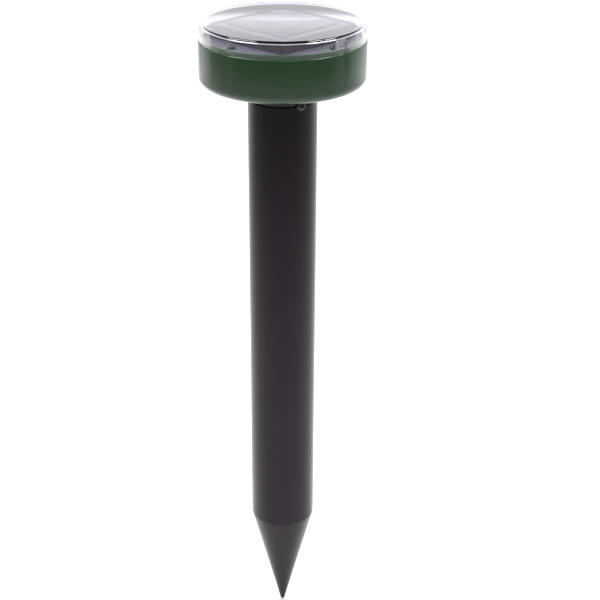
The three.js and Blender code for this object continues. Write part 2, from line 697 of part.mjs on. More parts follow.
// The half-roll edge that carries the cone on the basket.
function coneSurround() {
  const inside = coneRadius + GAP / 2;
  const outside = basketInside - GAP / 2;
  const centre = (inside + outside) / 2;
  const radius = (outside - inside) / 2;
  return turned([
    ...arc(centre, coneRimZ - GAP, radius, 180, 360, 4),
    ...arc(centre, coneRimZ - GAP, radius - SURROUND_SHEET, 360, 180, 4),
  ], SPEAKER_ROUND);
}

// ---------------------------------------------------------------- power switch

function switchHousing() {
  const bottom = pocketRoofZ + TIGHT_GAP;
  const can = block(0, SWITCH_Y, bottom, bottom + SWITCH_HEIGHT, SWITCH_LENGTH, SWITCH_WIDTH);
  const ears = block(0, SWITCH_Y, bottom, bottom + SWITCH_EAR_THICKNESS, SWITCH_EAR_LENGTH, SWITCH_WIDTH);
  const opening = block(0, SWITCH_Y, bottom - THROUGH, bottom + KNOB_REACH + GAP, ...knobSlot);
  const earHoles = [-1, 1].map((side) =>
    disc(SWITCH_SCREW.shank + GAP, bottom - THROUGH, bottom + 2 * THROUGH, 12)
      .translate(side * switchEarX, SWITCH_Y, 0));
  const { pitch, width, thickness, length } = SWITCH_PIN;
  const pins = [-pitch, 0, pitch].map((x) =>
    block(x, SWITCH_Y, bottom + SWITCH_HEIGHT - ROOT, bottom + SWITCH_HEIGHT + length, width, thickness));
  return cut(join(can, ears, ...pins), opening, ...earHoles);
}

// The knob stands at the off end of its slot, with grip ridges on its end.
function switchKnob() {
  const x = -SWITCH_TRAVEL / 2;
  const stem = block(x, SWITCH_Y, KNOB_RECESS, pocketRoofZ + KNOB_REACH, KNOB_LENGTH, KNOB_WIDTH);
  const { spacing, width, depth } = KNOB_GROOVE;
  const grooves = [-spacing, 0, spacing].map((dx) =>
    block(x + dx, SWITCH_Y, KNOB_RECESS - THROUGH, KNOB_RECESS + depth, width, KNOB_WIDTH + THROUGH));
  return cut(stem, ...grooves);
}

// ---------------------------------------------------------------- stake

// One moulding: a tube, open at its top, that narrows to a point hollow inside.
function stakeTube() {
  const pointZ = spikeTopZ - SPIKE_LENGTH;
  const grooveTop = -NECK_SCREW_DEPTH + RIM_GROOVE_WIDTH / 2;
  const grooveBottom = -NECK_SCREW_DEPTH - RIM_GROOVE_WIDTH / 2;
  const shell = turned([
    [0, pointZ],
    [SPIKE_POINT_RADIUS * 0.75, pointZ + 0.4],
    [SPIKE_POINT_RADIUS, pointZ + 1.4],
    [TUBE_RADIUS - SPIKE_SHOULDER / 2, spikeTopZ - SPIKE_SHOULDER],
    [TUBE_RADIUS - SPIKE_SHOULDER / 8, spikeTopZ],
    [TUBE_RADIUS, spikeTopZ + SPIKE_SHOULDER],
    [TUBE_RADIUS, grooveBottom],
    [TUBE_RADIUS - RIM_GROOVE_DEPTH, -NECK_SCREW_DEPTH],
    [TUBE_RADIUS, grooveTop],
    [TUBE_RADIUS, tubeTopZ - TUBE_RIM_ROUND],
    [TUBE_RADIUS - TUBE_RIM_ROUND, tubeTopZ],
    [tubeInside, tubeTopZ],
    [tubeInside, spikeTopZ],
    [SPIKE_POINT_RADIUS * 2, spikeTopZ - SPIKE_HOLLOW],
    [0, spikeTopZ - SPIKE_HOLLOW],
  ]);
  const holes = neckScrewAngles.map((angle) =>
    turnedToRight(
      neckScrewHole(NECK_SCREW.shank + GAP, tubeInside - 2 * THROUGH, TUBE_RADIUS + 2 * THROUGH),
      angle));
  return cut(shell, ...holes);
}

// A neck screw lies along the radius with its head outside the tube.
function neckScrew(angle) {
  const made = screw(NECK_SCREW).rotate(90, 0, 0);
  return turnedToRight(made.translate(0, -(TUBE_RADIUS + GAP / 2), -NECK_SCREW_DEPTH), angle);
}

// ---------------------------------------------------------------- materials and assembly

const finish = (color, roughness, metalness = 0, more = {}) =>
  new THREE.MeshStandardMaterial({ color, roughness, metalness, ...more });

const materials = {
  greenPlastic: finish(0x2f4d31, 0.25),
  blackPlastic: finish(0x1b191c, 0.35),
  clearPlastic: finish(0xf2f5f8, 0.05, 0, { transparent: true, opacity: 0.3 }),
  silicon: finish(0x10142c, 0.2),
  resin: finish(0xf0f2f6, 0.04, 0, { transparent: true, opacity: 0.3 }),
  panelBoard: finish(0x15161c, 0.5),
  rubber: finish(0x202022, 0.8),
  foam: finish(0x2a2a2c, 0.95),
  steel: finish(0xb9bcc0, 0.3, 1),
  spring: finish(0xcfd0d2, 0.25, 1),
  boardGreen: finish(0x1d5c35, 0.45),
  ferrite: finish(0x2b2b2e, 0.6),
  paper: finish(0x26262a, 0.9),
  copper: finish(0xb3673b, 0.35, 1),
  batterySleeve: finish(0x2e6f9e, 0.35),
  whiteNylon: finish(0xe4e2d8, 0.5),
  redLead: finish(0xb01c1c, 0.45),
  blackLead: finish(0x161616, 0.45),
};

const repeller = new THREE.Group();
repeller.name = "solar_pest_repeller";

function addPiece(name, made, material) {
  const mesh = new THREE.Mesh(geometryOf(made), materials[material]);
  mesh.name = name;
  repeller.add(mesh);
}

addPiece("stake_tube", stakeTube(), "blackPlastic");
neckScrewAngles.forEach((angle, i) => addPiece(`neck_screw_${i + 1}`, neckScrew(angle), "steel"));

addPiece("head_housing", headHousing(), "greenPlastic");
addPiece("cover_gasket", coverGasket(), "rubber");
addPiece("clear_cover", clearCover(), "clearPlastic");
addPiece("panel_tray", panelTray(), "blackPlastic");
trayTabAngles.forEach((angle, i) => {
  const seated = screw(TRAY_SCREW).translate(0, -trayScrewRadius, trayPlateZ + TRAY_PLATE + TIGHT_GAP);
  addPiece(`tray_screw_${i + 1}`, turnedToRight(seated, angle), "steel");
});
addPiece("solar_board", solarBoard(), "panelBoard");
for (let i = 0; i < CELL_COUNT; i++) addPiece(`solar_cell_${i + 1}`, solarCell(i), "silicon");
addPiece("panel_resin", panelResin(), "resin");

addPiece("main_board", mainBoard(), "boardGreen");
boardCorners.forEach(([sx, sy], i) => {
  const seated = screw(BOARD_SCREW).translate(sx * BOARD_POST_X, sy * BOARD_POST_Y, onBoard);
  addPiece(`board_screw_${i + 1}`, seated, "steel");
});
addPiece("controller_chip", controllerChip(), "ferrite");
addPiece("capacitor", capacitor(), "steel");
addPiece("inductor", inductor(), "ferrite");
addPiece("transistor", transistor(), "ferrite");
addPiece("panel_connector", panelConnector(), "whiteNylon");

// The left cell's button faces the back and the right cell's the front.
[["left", -1, 0], ["right", 1, 180]].forEach(([side, sign, turn]) => {
  const place = (made) => made.rotate(0, 0, turn).translate(sign * CELL_OFFSET, 0, 0);
  addPiece(`battery_cradle_${side}`, place(batteryCradle()), "blackPlastic");
  addPiece(`battery_cell_${side}`, place(batteryCell()), "batterySleeve");
  addPiece(`button_contact_${side}`, place(buttonContact()), "spring");
  addPiece(`battery_spring_${side}`, place(springContact()), "spring");
});

addPiece("speaker_foam", speakerFoam(), "foam");
addPiece("speaker_basket", speakerBasket(), "steel");
addPiece("speaker_front_plate", speakerFrontPlate(), "steel");
addPiece("speaker_magnet", speakerMagnet(), "ferrite");
addPiece("speaker_yoke", speakerYoke(), "steel");
addPiece("speaker_cone", speakerCone(), "paper");
addPiece("voice_coil", voiceCoil(), "copper");
addPiece("cone_surround", coneSurround(), "rubber");

addPiece("switch_housing", switchHousing(), "steel");
addPiece("switch_knob", switchKnob(), "blackPlastic");
[-1, 1].forEach((side, i) => {
  const z = pocketRoofZ + TIGHT_GAP + SWITCH_EAR_THICKNESS + TIGHT_GAP;
  addPiece(`switch_screw_${i + 1}`, screw(SWITCH_SCREW).translate(side * switchEarX, SWITCH_Y, z), "steel");
});

// Leads. Each ends just clear of the terminal that it is soldered to.
const boardFace = boardTopZ + GAP;
const boardUnderside = BOARD_HEIGHT - GAP;
const connectorFloor = onBoard + CONNECTOR.height - CONNECTOR.mouthDepth + GAP;
const switchPinTop = pocketRoofZ + SWITCH_HEIGHT + SWITCH_PIN.length + 2 * GAP;
const leads = {
  panel_lead_red: ["redLead", [
    [-0.8, -12, trayBedZ - 0.3], [-0.9, -12.4, 28], [-5.5, -20, 27.4], [-7.2, -24, 25],
    [-7.2, -24, connectorFloor],
  ]],
  panel_lead_black: ["blackLead", [
    [0.8, -12, trayBedZ - 0.3], [0.9, -12.6, 28.4], [-2.6, -20, 27.6], [-4.8, -24, 25],
    [-4.8, -24, connectorFloor],
  ]],
  speaker_lead_red: ["redLead", [
    [2, 18.9, flangeZ + 1.6], [2.4, 20.6, 7], [3.4, 22, 11], [4, 22, boardUnderside],
  ]],
  speaker_lead_black: ["blackLead", [
    [-2, 18.9, flangeZ + 1.6], [-2.4, 20.6, 7], [-3.4, 22, 11], [-4, 22, boardUnderside],
  ]],
  battery_lead_red: ["redLead", [
    [-30.2, 27.75, 17.3], [-30, 27.4, 18.6], [-27.5, 25.5, 19.2], [-21, 23, 19.6],
    [-16.5, 18, 19.4], [-16, 16, 18.6], [-16, 16, boardFace],
  ]],
  battery_lead_black: ["blackLead", [
    [22.8, 27.5, 10.25], [22, 26.4, 8.4], [20.5, 25.2, 10], [20.4, 25.2, 15],
    [19.6, 23.6, 18.8], [16.8, 18, 19.4], [16, 16, 18.6], [16, 16, boardFace],
  ]],
  battery_link: ["blackLead", [
    [-22.8, -27.5, 10.25], [-21.8, -27, 8.4], [-19.6, -27.4, 7.2], [-18.6, -30.4, 6], [-11, -36, 4.8],
    [4, -38, 4.4],
    [18, -35, 7], [26.5, -32, 13.5], [29.4, -30.6, 17.6], [30.2, -28.4, 18.4], [30.2, -27.75, 17.3],
  ]],
  switch_lead_red: ["redLead", [
    [3, SWITCH_Y, switchPinTop], [3.2, SWITCH_Y - 1, 16], [4, 31.5, 20],
    [4.4, 27, 18.8], [4.4, 27, boardFace],
  ]],
  switch_lead_black: ["blackLead", [
    [0, SWITCH_Y, switchPinTop], [-0.4, SWITCH_Y - 1, 16], [-2.4, 31.5, 20],
    [-3.6, 27, 18.8], [-3.6, 27, boardFace],
  ]],
};
for (const [name, [material, points]] of Object.entries(leads)) addPiece(name, lead(points), material);

export default repeller;
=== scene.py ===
"""Looks of a solar ultrasonic pest repeller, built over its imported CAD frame.

Places come from the frame. Sizes that the frame doesn't hold are in millimetres and are
turned into metres by MM, except in the studio, which is in metres. +Z is up, -Y is the
front, and z = 0 is the soil line. Angles are in degrees to the right of the front.
"""

import math
from collections import namedtuple

import bmesh
import bpy
from mathutils import Matrix, Vector


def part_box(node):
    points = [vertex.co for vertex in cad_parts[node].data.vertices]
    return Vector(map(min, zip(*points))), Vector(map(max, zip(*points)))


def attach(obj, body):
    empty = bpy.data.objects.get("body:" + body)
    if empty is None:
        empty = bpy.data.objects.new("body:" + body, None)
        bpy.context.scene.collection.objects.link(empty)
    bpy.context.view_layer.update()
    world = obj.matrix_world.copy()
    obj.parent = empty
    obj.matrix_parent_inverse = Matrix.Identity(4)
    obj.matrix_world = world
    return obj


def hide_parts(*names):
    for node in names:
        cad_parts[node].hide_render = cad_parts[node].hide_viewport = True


MM = 0.001
GAP = 0.3  # clearance between pieces that seat on or in each other
TIGHT_GAP = GAP / 3  # the same between pieces that are screwed or soldered down
ROOT = 0.5  # how far a boss or tab runs into the wall that carries it
THROUGH = 1  # how far a cutting tool runs past the face that it cuts
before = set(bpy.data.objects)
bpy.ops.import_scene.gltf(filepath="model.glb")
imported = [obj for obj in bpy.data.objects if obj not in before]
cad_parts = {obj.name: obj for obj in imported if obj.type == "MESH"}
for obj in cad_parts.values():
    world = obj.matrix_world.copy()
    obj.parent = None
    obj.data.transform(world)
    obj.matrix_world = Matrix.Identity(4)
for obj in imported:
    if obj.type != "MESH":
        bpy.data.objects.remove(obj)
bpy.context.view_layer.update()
scene = bpy.context.scene


def low(node):
    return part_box(node)[0] / MM


def high(node):
    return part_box(node)[1] / MM


def middle(node):
    return (low(node) + high(node)) / 2


def levels(node):
    return low(node).z, high(node).z


# ---- sizes from the frame

HEAD_RADIUS = high("head_housing").x
LIP_TOP = high("head_housing").z
NECK_BOTTOM = low("head_housing").z
COVER_RADIUS = high("clear_cover").x
COVER_BOTTOM = low("clear_cover").z
COVER_TOP = high("clear_cover").z
SEAM_Z = COVER_BOTTOM - TIGHT_GAP
TUBE_RADIUS = high("stake_tube").x
TUBE_TOP = high("stake_tube").z
POINT_Z = low("stake_tube").z
TRAY_RADIUS = high("panel_tray").x
TRAY_BOTTOM = low("panel_tray").z
TRAY_TOP = high("panel_tray").z
BOARD_BOTTOM = low("main_board").z
BOARD_TOP = high("main_board").z
CELL_X = middle("battery_cell_right").x
CELL_Z = middle("battery_cell_right").z
SWITCH_Y = middle("switch_housing").y
SWITCH_BOTTOM = low("switch_housing").z

# ---- sizes of this script

SEGMENTS = 192

WALL = 2.4
FLOOR = 2.2
FILLET = 4.9
RIM_DEPTH = 4.4
LIP_OUTSIDE = 45.4
LIP_INSIDE = 43.9
NECK_OUTSIDE = 17.9
NECK_INSIDE = 15.7
SEAT_RADIUS = 20.6
SEAT_DEPTH = 0.6
SOUND_HOLE = 14
GASKET_WIDTH = 0.6
POST_RADIUS = 2.6
POST_FLARE = 1
POST_SOLID = 4  # height of a post below the bottom of its hole
TAB_WIDTH = 9
TAB_REACH = 10.5
TAB_THICKNESS = 4.2
BOSS_WIDTH = 6
POCKET_LENGTH = 15
POCKET_WIDTH = 8
POCKET_DEPTH = 2.7

COVER_WALL = 1.6
COVER_SKIN = 1.8
COVER_FILLET = 2.4
COVER_INNER_FILLET = 0.8
COVER_CROWN = 0.3
RIB_ANGLE = 43
RIB_WIDTH = 7.5
RIB_DEPTH = 1.4
RIB_SPACE = 0.6

TUBE_INSIDE = 18.2
SHOULDER_Z = POINT_Z + 72
SPIKE_HOLLOW = 45
TIP_RADIUS = 1.2
SCREW_Z = -8.5
SCREW_ANGLES = (30, 210)
GROOVE_DEPTH = 0.3
GROOVE_WIDTH = 2

TRAY_PLATE = 1.6
TRAY_SIDE = 58.6
TRAY_FRAME = 1.5
PANEL_SIDE = 44.4
CELL_COUNT = 4
CELL_MARGIN = 1.2
CELL_SPACE = 0.5
LEAD_HOLE_Y = -12
QUARTERS = (45, 135, 225, 315)

# head and shank are radii, dome is the height of the head
Screw = namedtuple("Screw", "head dome shank length")
NECK_SCREW = Screw(2.8, 1.9, 1.25, 8)
BOARD_SCREW = Screw(2.3, 1.5, 0.85, 6.5)
TRAY_SCREW = Screw(2.4, 1.5, 0.95, 5.6)
SWITCH_SCREW = Screw(1.6, 1.0, 0.7, 2.2)

TRAY_SCREW_RADIUS = LIP_INSIDE - TAB_REACH / 2
BOARD_CORNERS = ((-14.5, -26), (14.5, -26), (14.5, 26), (-14.5, 26))

SWITCH_LENGTH = 12
SWITCH_WIDTH = 5.6
EAR_LENGTH = 19
EAR_X = (SWITCH_LENGTH + EAR_LENGTH) / 4
EAR_THICKNESS = 0.6
KNOB_SLOT = (6.1, 3)

FLANGE_OUTSIDE = 18
FLANGE_INSIDE = 15.4
PLATE_RADIUS = 9
CONE_RADIUS = 13.4
COIL_INSIDE = 3.55
COIL_OUTSIDE = 3.9

AA_RADIUS = 7.1
CELL_SPAN = (low("battery_cell_left").y, high("battery_cell_left").y)
SPRING_SPAN = (low("battery_spring_left").y, high("battery_spring_left").y)

MOUTH_DEPTH = 1.6  # of the panel's connector
LEAD_RADIUS = 0.55
CORE_RADIUS = 0.26

# ---- meshes


def soften(points, steps=6):
    """Points (r, z) or (r, z, round): each corner that states a round becomes an arc."""
    made = []
    count = len(points)
    for i, point in enumerate(points):
        here = Vector(point[:2])
        if len(point) < 3:
            made.append(here)
            continue
        before = Vector(points[i - 1][:2]) - here
        after = Vector(points[(i + 1) % count][:2]) - here
        half = before.angle(after) / 2
        reach = point[2] / math.tan(half)
        inwards = (before.normalized() + after.normalized()).normalized()
        centre = here + inwards * (point[2] / math.sin(half))
        start = here + before.normalized() * reach - centre
        end = here + after.normalized() * reach - centre
        turn = start.angle_signed(end)
        for k in range(steps + 1):
            spoke = start.copy()
            spoke.rotate(Matrix.Rotation(-turn * k / steps, 2))
            made.append(centre + spoke)
    return made


def mesh_object(name, bm):
    mesh = bpy.data.meshes.new(name)
    bm.to_mesh(mesh)
    bm.free()
    made = bpy.data.objects.new(name, mesh)
    scene.collection.objects.link(made)
    return made


def outward(bm):
    bmesh.ops.remove_doubles(bm, verts=bm.verts, dist=1e-8)
    bmesh.ops.recalc_face_normals(bm, faces=bm.faces)
    return bm


def circle(count):
    """Angles, in radians, of evenly spread points."""
    return [2 * math.pi * k / count for k in range(count)]


def lathe(points, segments=SEGMENTS):
    """A bmesh turned about Z from an outline that closes on itself or on the axis."""
    bm = bmesh.new()
    rings = []
    for r, z in points:
        if r < 1e-6:
            rings.append([bm.verts.new((0, 0, z * MM))] * segments)
            continue
        spokes = [Vector((r * math.cos(a), r * math.sin(a), z)) for a in circle(segments)]
        rings.append([bm.verts.new(spoke * MM) for spoke in spokes])
    for one, two in zip(rings, rings[1:] + rings[:1]):
        for k in range(segments):
            corners = [one[k], one[(k + 1) % segments], two[(k + 1) % segments], two[k]]
            corners = list(dict.fromkeys(corners))
            if len(corners) > 2:
                bm.faces.new(corners)
    return outward(bm)


def disc(radius, bottom, top, edge=0.0, segments=48):
    corner = (edge,) if edge else ()
    outline = [(0, bottom), (radius, bottom, *corner), (radius, top, *corner), (0, top)]
    return lathe(soften(outline, 3), segments)


def ring(inside, outside, bottom, top, edge=0.0, segments=96):
    corner = (edge,) if edge else ()
    corners = ((inside, bottom), (outside, bottom), (outside, top), (inside, top))
    return lathe(soften([(*point, *corner) for point in corners], 3), segments)


def block(centre, size, bevel=0.0, steps=3):
    """A bmesh box with rounded edges."""
    bm = bmesh.new()
    bmesh.ops.create_cube(bm, size=1)
    bmesh.ops.scale(bm, vec=Vector(size) * MM, verts=bm.verts)
    bmesh.ops.translate(bm, vec=Vector(centre) * MM, verts=bm.verts)
    if bevel:
        bmesh.ops.bevel(bm, geom=bm.edges[:], offset=bevel * MM, segments=steps, profile=0.5,
                        affect="EDGES")
    return bm


def standing(x, y, bottom, top, width, depth, bevel=0.0):
    """A box centred on x and y that stands from bottom to top."""
    return block((x, y, (bottom + top) / 2), (width, depth, top - bottom), bevel)


def plate(width, depth, corner, bottom, top, bevel=0.0, turn=0.0):
    """A bmesh plate with rounded corners and softened rims, turned about Z."""
    bm = bmesh.new()
    corner_steps = 8
    outline = []
    for quarter, (sx, sy) in enumerate(((1, 1), (-1, 1), (-1, -1), (1, -1))):
        hub = Vector((sx * (width / 2 - corner), sy * (depth / 2 - corner)))
        for k in range(corner_steps + 1):
            a = math.pi / 2 * (quarter + k / corner_steps)
            outline.append(hub + Vector((math.cos(a), math.sin(a))) * corner)
    base = bm.faces.new([bm.verts.new(Vector((*point, bottom)) * MM) for point in outline])
    made = bmesh.ops.extrude_face_region(bm, geom=[base])
    moved = [v for v in made["geom"] if isinstance(v, bmesh.types.BMVert)]
    bmesh.ops.translate(bm, vec=(0, 0, (top - bottom) * MM), verts=moved)
    outward(bm)
    if bevel:
        rims = [e for e in bm.edges if abs(e.verts[0].co.z - e.verts[1].co.z) < 1e-7]
        bmesh.ops.bevel(bm, geom=rims, offset=bevel * MM, segments=3, profile=0.5, affect="EDGES")
    return placed(bm, about(turn))


def swept(stations, sides=12):
    """A round bar through stations, each a place and a radius."""
    bm = bmesh.new()
    rings = []
    side = None
    for i, (place, radius) in enumerate(stations):
        ahead = next((p for p, _ in stations[i + 1:] if (p - place).length > 1e-6), place)
        behind = next((p for p, _ in stations[i::-1] if (p - place).length > 1e-6), place)
        along = (ahead - behind).normalized()
        side = along.orthogonal() if side is None else side - along * side.dot(along)
        side.normalize()
        across = along.cross(side)
        spokes = [(side * math.cos(a) + across * math.sin(a)) * radius for a in circle(sides)]
        rings.append([bm.verts.new((place + spoke) * MM) for spoke in spokes])
    for one, two in zip(rings, rings[1:]):
        for k in range(sides):
            bm.faces.new([one[k], one[(k + 1) % sides], two[(k + 1) % sides], two[k]])
    bm.faces.new(rings[0])
    bm.faces.new(rings[-1])
    bmesh.ops.recalc_face_normals(bm, faces=bm.faces)
    return bm


def curve_through(points, steps=10):
    """Places on the centripetal Catmull-Rom curve through the points, as the CAD's leads run."""
    points = [Vector(p) for p in points]
    points = [points[0] * 2 - points[1], *points, points[-1] * 2 - points[-2]]
    made = []
    for a, b, c, d in zip(points, points[1:], points[2:], points[3:]):
        before, here, after = (math.sqrt((q - p).length) for p, q in ((a, b), (b, c), (c, d)))
        leave = ((b - a) / before - (c - a) / (before + here) + (c - b) / here) * here
        reach = ((c - b) / here - (d - b) / (here + after) + (d - c) / after) * here
        for k in range(steps):
            t = k / steps
            cubic = (b - c) * 2 + leave + reach
            square = (c - b) * 3 - leave * 2 - reach
            made.append(b + leave * t + square * t ** 2 + cubic * t ** 3)
    made.append(points[-2])
    return made


def merged(*parts):
    """Separate bmeshes as one."""
    whole = bmesh.new()
    for bm in parts:
        mesh = bpy.data.meshes.new("part")
        bm.to_mesh(mesh)
        bm.free()
        whole.from_mesh(mesh)
        bpy.data.meshes.remove(mesh)
    return whole


def placed(bm, *matrices):
    """Moves a bmesh by the matrices, the last of them first."""
    for matrix in reversed(matrices):
        bmesh.ops.transform(bm, matrix=matrix, verts=bm.verts)
    return bm


def about(degrees, axis="Z"):
    return Matrix.Rotation(math.radians(degrees), 4, axis)


def shift(x=0.0, y=0.0, z=0.0):
    return Matrix.Translation(Vector((x, y, z)) * MM)


def carve(made, *tools, operation="DIFFERENCE"):
    """Applies exact booleans with bmesh tools to an object."""
    for bm in tools:
        tool = mesh_object("tool", bm)
        change = made.modifiers.new("carve", "BOOLEAN")
        change.object = tool
        change.operation = operation
        change.solver = "EXACT"
        graph = bpy.context.evaluated_depsgraph_get()
        result = bpy.data.meshes.new_from_object(made.evaluated_get(graph), depsgraph=graph)
        made.modifiers.clear()
        old = made.data
        made.data = result
        bpy.data.meshes.remove(old)
        bpy.data.objects.remove(tool)
    return made


def join(made, *tools):
    carve(made, *tools, operation="UNION")


def piece(made, node, material, body="repeller", sharp=32):
    """Finishes an object as the piece that stands for a CAD node."""
    made.name = f"{node}_shown"
    made.data.shade_smooth()
    made.data.set_sharp_from_angle(angle=math.radians(sharp))
    made.data.materials.append(material)
    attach(made, body)
    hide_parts(node)


def paint(made, material, chosen):
    """Gives a second material to the faces whose centre, in millimetres, is chosen."""
    made.data.materials.append(material)
    index = len(made.data.materials) - 1
    for face in made.data.polygons:
        if chosen(face.center / MM):
            face.material_index = index


# ---- materials


def set_inputs(node, **values):
    for socket, value in values.items():
        node.inputs[socket.replace("_", " ")].default_value = value


def principled(name, color, roughness, **sockets):
    made = bpy.data.materials.new(name)
    made.use_nodes = True
    shader = made.node_tree.nodes["Principled BSDF"]
    set_inputs(shader, Base_Color=(*color, 1), Roughness=roughness, **sockets)
    return made


def object_coordinates(tree, stretch=None, turn=0.0):
    """Object coordinates, in metres, stretched along each axis and turned about Z."""
    coordinates = tree.nodes.new("ShaderNodeTexCoord").outputs["Object"]
    if stretch is None and not turn:
        return coordinates
    mapping = tree.nodes.new("ShaderNodeMapping")
    set_inputs(mapping, Scale=stretch or (1, 1, 1), Rotation=(0, 0, math.radians(turn)))
    tree.links.new(coordinates, mapping.inputs["Vector"])
    return mapping.outputs["Vector"]


def noise(tree, scale, detail=3.0, stretch=None):
    """The factor of a noise in object coordinates; scale is in features per metre."""
    node = tree.nodes.new("ShaderNodeTexNoise")
    set_inputs(node, Scale=scale, Detail=detail)
    tree.links.new(object_coordinates(tree, stretch), node.inputs["Vector"])
    return node.outputs["Fac"]


def ranged(tree, source, lowest, highest, start=0.3, end=0.7):
    node = tree.nodes.new("ShaderNodeMapRange")
    set_inputs(node, From_Min=start, From_Max=end, To_Min=lowest, To_Max=highest)
    tree.links.new(source, node.inputs["Value"])
    return node.outputs["Result"]


def mixed(tree, factor, first, second):
    """A colour that goes from first to second; each is a colour or a socket."""
    mix = tree.nodes.new("ShaderNodeMix")
    mix.data_type = "RGBA"
    for socket, value in (("A", first), ("B", second)):
        if isinstance(value, bpy.types.NodeSocket):
            tree.links.new(value, mix.inputs[socket])
        else:
            mix.inputs[socket].default_value = (*value, 1)
    tree.links.new(factor, mix.inputs["Factor"])
    return mix.outputs["Result"]


def bumped(material, height, strength, distance=0.4):
    """Adds a bump of a height; the distance is in millimetres."""
    tree = material.node_tree
    node = tree.nodes.new("ShaderNodeBump")
    set_inputs(node, Strength=strength, Distance=distance * MM)
    tree.links.new(height, node.inputs["Height"])
    tree.links.new(node.outputs["Normal"], tree.nodes["Principled BSDF"].inputs["Normal"])
    return material


def textured(name, color, roughness, shade=0.06, patch=60, rough=0.05, grain=2500, bump=0.02,
             stretch=None, **sockets):
    """A principled material with patchy colour, patchy roughness and a fine bump."""
    material = principled(name, color, roughness, **sockets)
    tree = material.node_tree
    shader = tree.nodes["Principled BSDF"]
    darker = [c * (1 - shade) for c in color]
    lighter = [min(c * (1 + shade), 1) for c in color]
    patches = ranged(tree, noise(tree, patch, 4, stretch), 0, 1)
    tree.links.new(mixed(tree, patches, darker, lighter), shader.inputs["Base Color"])
    wear = noise(tree, patch * 3, 5, stretch)
    tree.links.new(ranged(tree, wear, max(roughness - rough, 0.02), roughness + rough),
                   shader.inputs["Roughness"])
    return bumped(material, noise(tree, grain, 2, stretch), bump)


def clear(name, tint, roughness, ior):
    """A clear plastic that lets lamps through to what is behind it."""
    made = principled(name, tint, roughness, IOR=ior, Transmission_Weight=1)
    tree = made.node_tree
    shader = tree.nodes["Principled BSDF"]
    output = tree.nodes["Material Output"]
    path = tree.nodes.new("ShaderNodeLightPath")
    through = tree.nodes.new("ShaderNodeBsdfTransparent")
    through.inputs["Color"].default_value = (*[0.25 + 0.75 * c for c in tint], 1)
    mix = tree.nodes.new("ShaderNodeMixShader")
    tree.links.new(path.outputs["Is Shadow Ray"], mix.inputs["Fac"])
    tree.links.new(shader.outputs["BSDF"], mix.inputs[1])
    tree.links.new(through.outputs["BSDF"], mix.inputs[2])
    tree.links.new(mix.outputs["Shader"], output.inputs["Surface"])
    fine = ranged(tree, noise(tree, 90, 3), roughness * 0.7, roughness * 1.6)
    tree.links.new(fine, shader.inputs["Roughness"])
    return made


def lines(tree, coordinate, pitch, width):
    """1 on lines of a width that repeat at a pitch, both in millimetres, along a coordinate."""
    wrap = tree.nodes.new("ShaderNodeMath")
    wrap.operation = "PINGPONG"
    wrap.inputs[1].default_value = pitch / 2 * MM
    tree.links.new(coordinate, wrap.inputs[0])
    return ranged(tree, wrap.outputs["Value"], 1, 0, width / 2 * MM, (width / 2 + 0.03) * MM)


def silicon_material():
    """Blue-black silicon with fine silver fingers across each strip."""
    made = principled("silicon", (0.006, 0.007, 0.022), 0.2, Coat_Weight=0.3)
    tree = made.node_tree
    shader = tree.nodes["Principled BSDF"]
    grains = ranged(tree, noise(tree, 420, 1), 0, 1)
    body = mixed(tree, grains, (0.005, 0.006, 0.02), (0.009, 0.011, 0.034))
    split = tree.nodes.new("ShaderNodeSeparateXYZ")
    tree.links.new(object_coordinates(tree, turn=-45), split.inputs["Vector"])
    fingers = lines(tree, split.outputs["Y"], 1.9, 0.12)
    tree.links.new(mixed(tree, fingers, body, (0.42, 0.43, 0.45)), shader.inputs["Base Color"])
    tree.links.new(ranged(tree, fingers, 0.16, 0.35, 0, 1), shader.inputs["Roughness"])
    return bumped(made, fingers, 0.2, 0.05)


def board_material():
    """Green solder mask with faintly raised copper tracks under it."""
    made = principled("solder_mask", (0.012, 0.105, 0.035), 0.3, Coat_Weight=0.4)
    tree = made.node_tree
    shader = tree.nodes["Principled BSDF"]
    brick = tree.nodes.new("ShaderNodeTexBrick")
    set_inputs(brick, Scale=120, Mortar_Size=0.05, Mortar_Smooth=0.2, Color1=(0, 0, 0, 1),
               Color2=(0, 0, 0, 1), Mortar=(1, 1, 1, 1))
    tree.links.new(object_coordinates(tree), brick.inputs["Vector"])
    broken = ranged(tree, noise(tree, 170, 1, (1, 0.4, 1)), 0, 1, 0.56, 0.58)
    tracks = tree.nodes.new("ShaderNodeMath")
    tracks.operation = "MULTIPLY"
    tree.links.new(brick.outputs["Color"], tracks.inputs[0])
    tree.links.new(broken, tracks.inputs[1])
    tree.links.new(mixed(tree, tracks.outputs["Value"], (0.01, 0.09, 0.03), (0.05, 0.2, 0.07)),
                   shader.inputs["Base Color"])
    return bumped(made, tracks.outputs["Value"], 0.3, 0.06)


green = textured("green_plastic", (0.0115, 0.042, 0.013), 0.16, rough=0.04, bump=0.012, grain=900)
stake_black = textured("stake_black", (0.004, 0.003, 0.0048), 0.2, Specular_IOR_Level=0.25,
                       Specular_Tint=(1, 0.84, 1, 1), shade=0.16, patch=40, bump=0.035, grain=1800,
                       stretch=(1, 1, 0.25))
tray_black = textured("tray_black", (0.042, 0.04, 0.054), 0.4, bump=0.05, grain=3000)
clear_cover = clear("clear_plastic", (0.965, 0.965, 0.985), 0.012, 1.585)
resin = clear("clear_resin", (0.95, 0.95, 0.98), 0.03, 1.5)
nickel = textured("nickel_steel", (0.55, 0.56, 0.58), 0.2, Metallic=1, patch=900, rough=0.08, bump=0.05,
                  grain=6000)
black_steel = textured("black_steel", (0.06, 0.06, 0.065), 0.45, Metallic=1, shade=0.15, patch=700,
                       rough=0.08, bump=0.08, grain=5000)
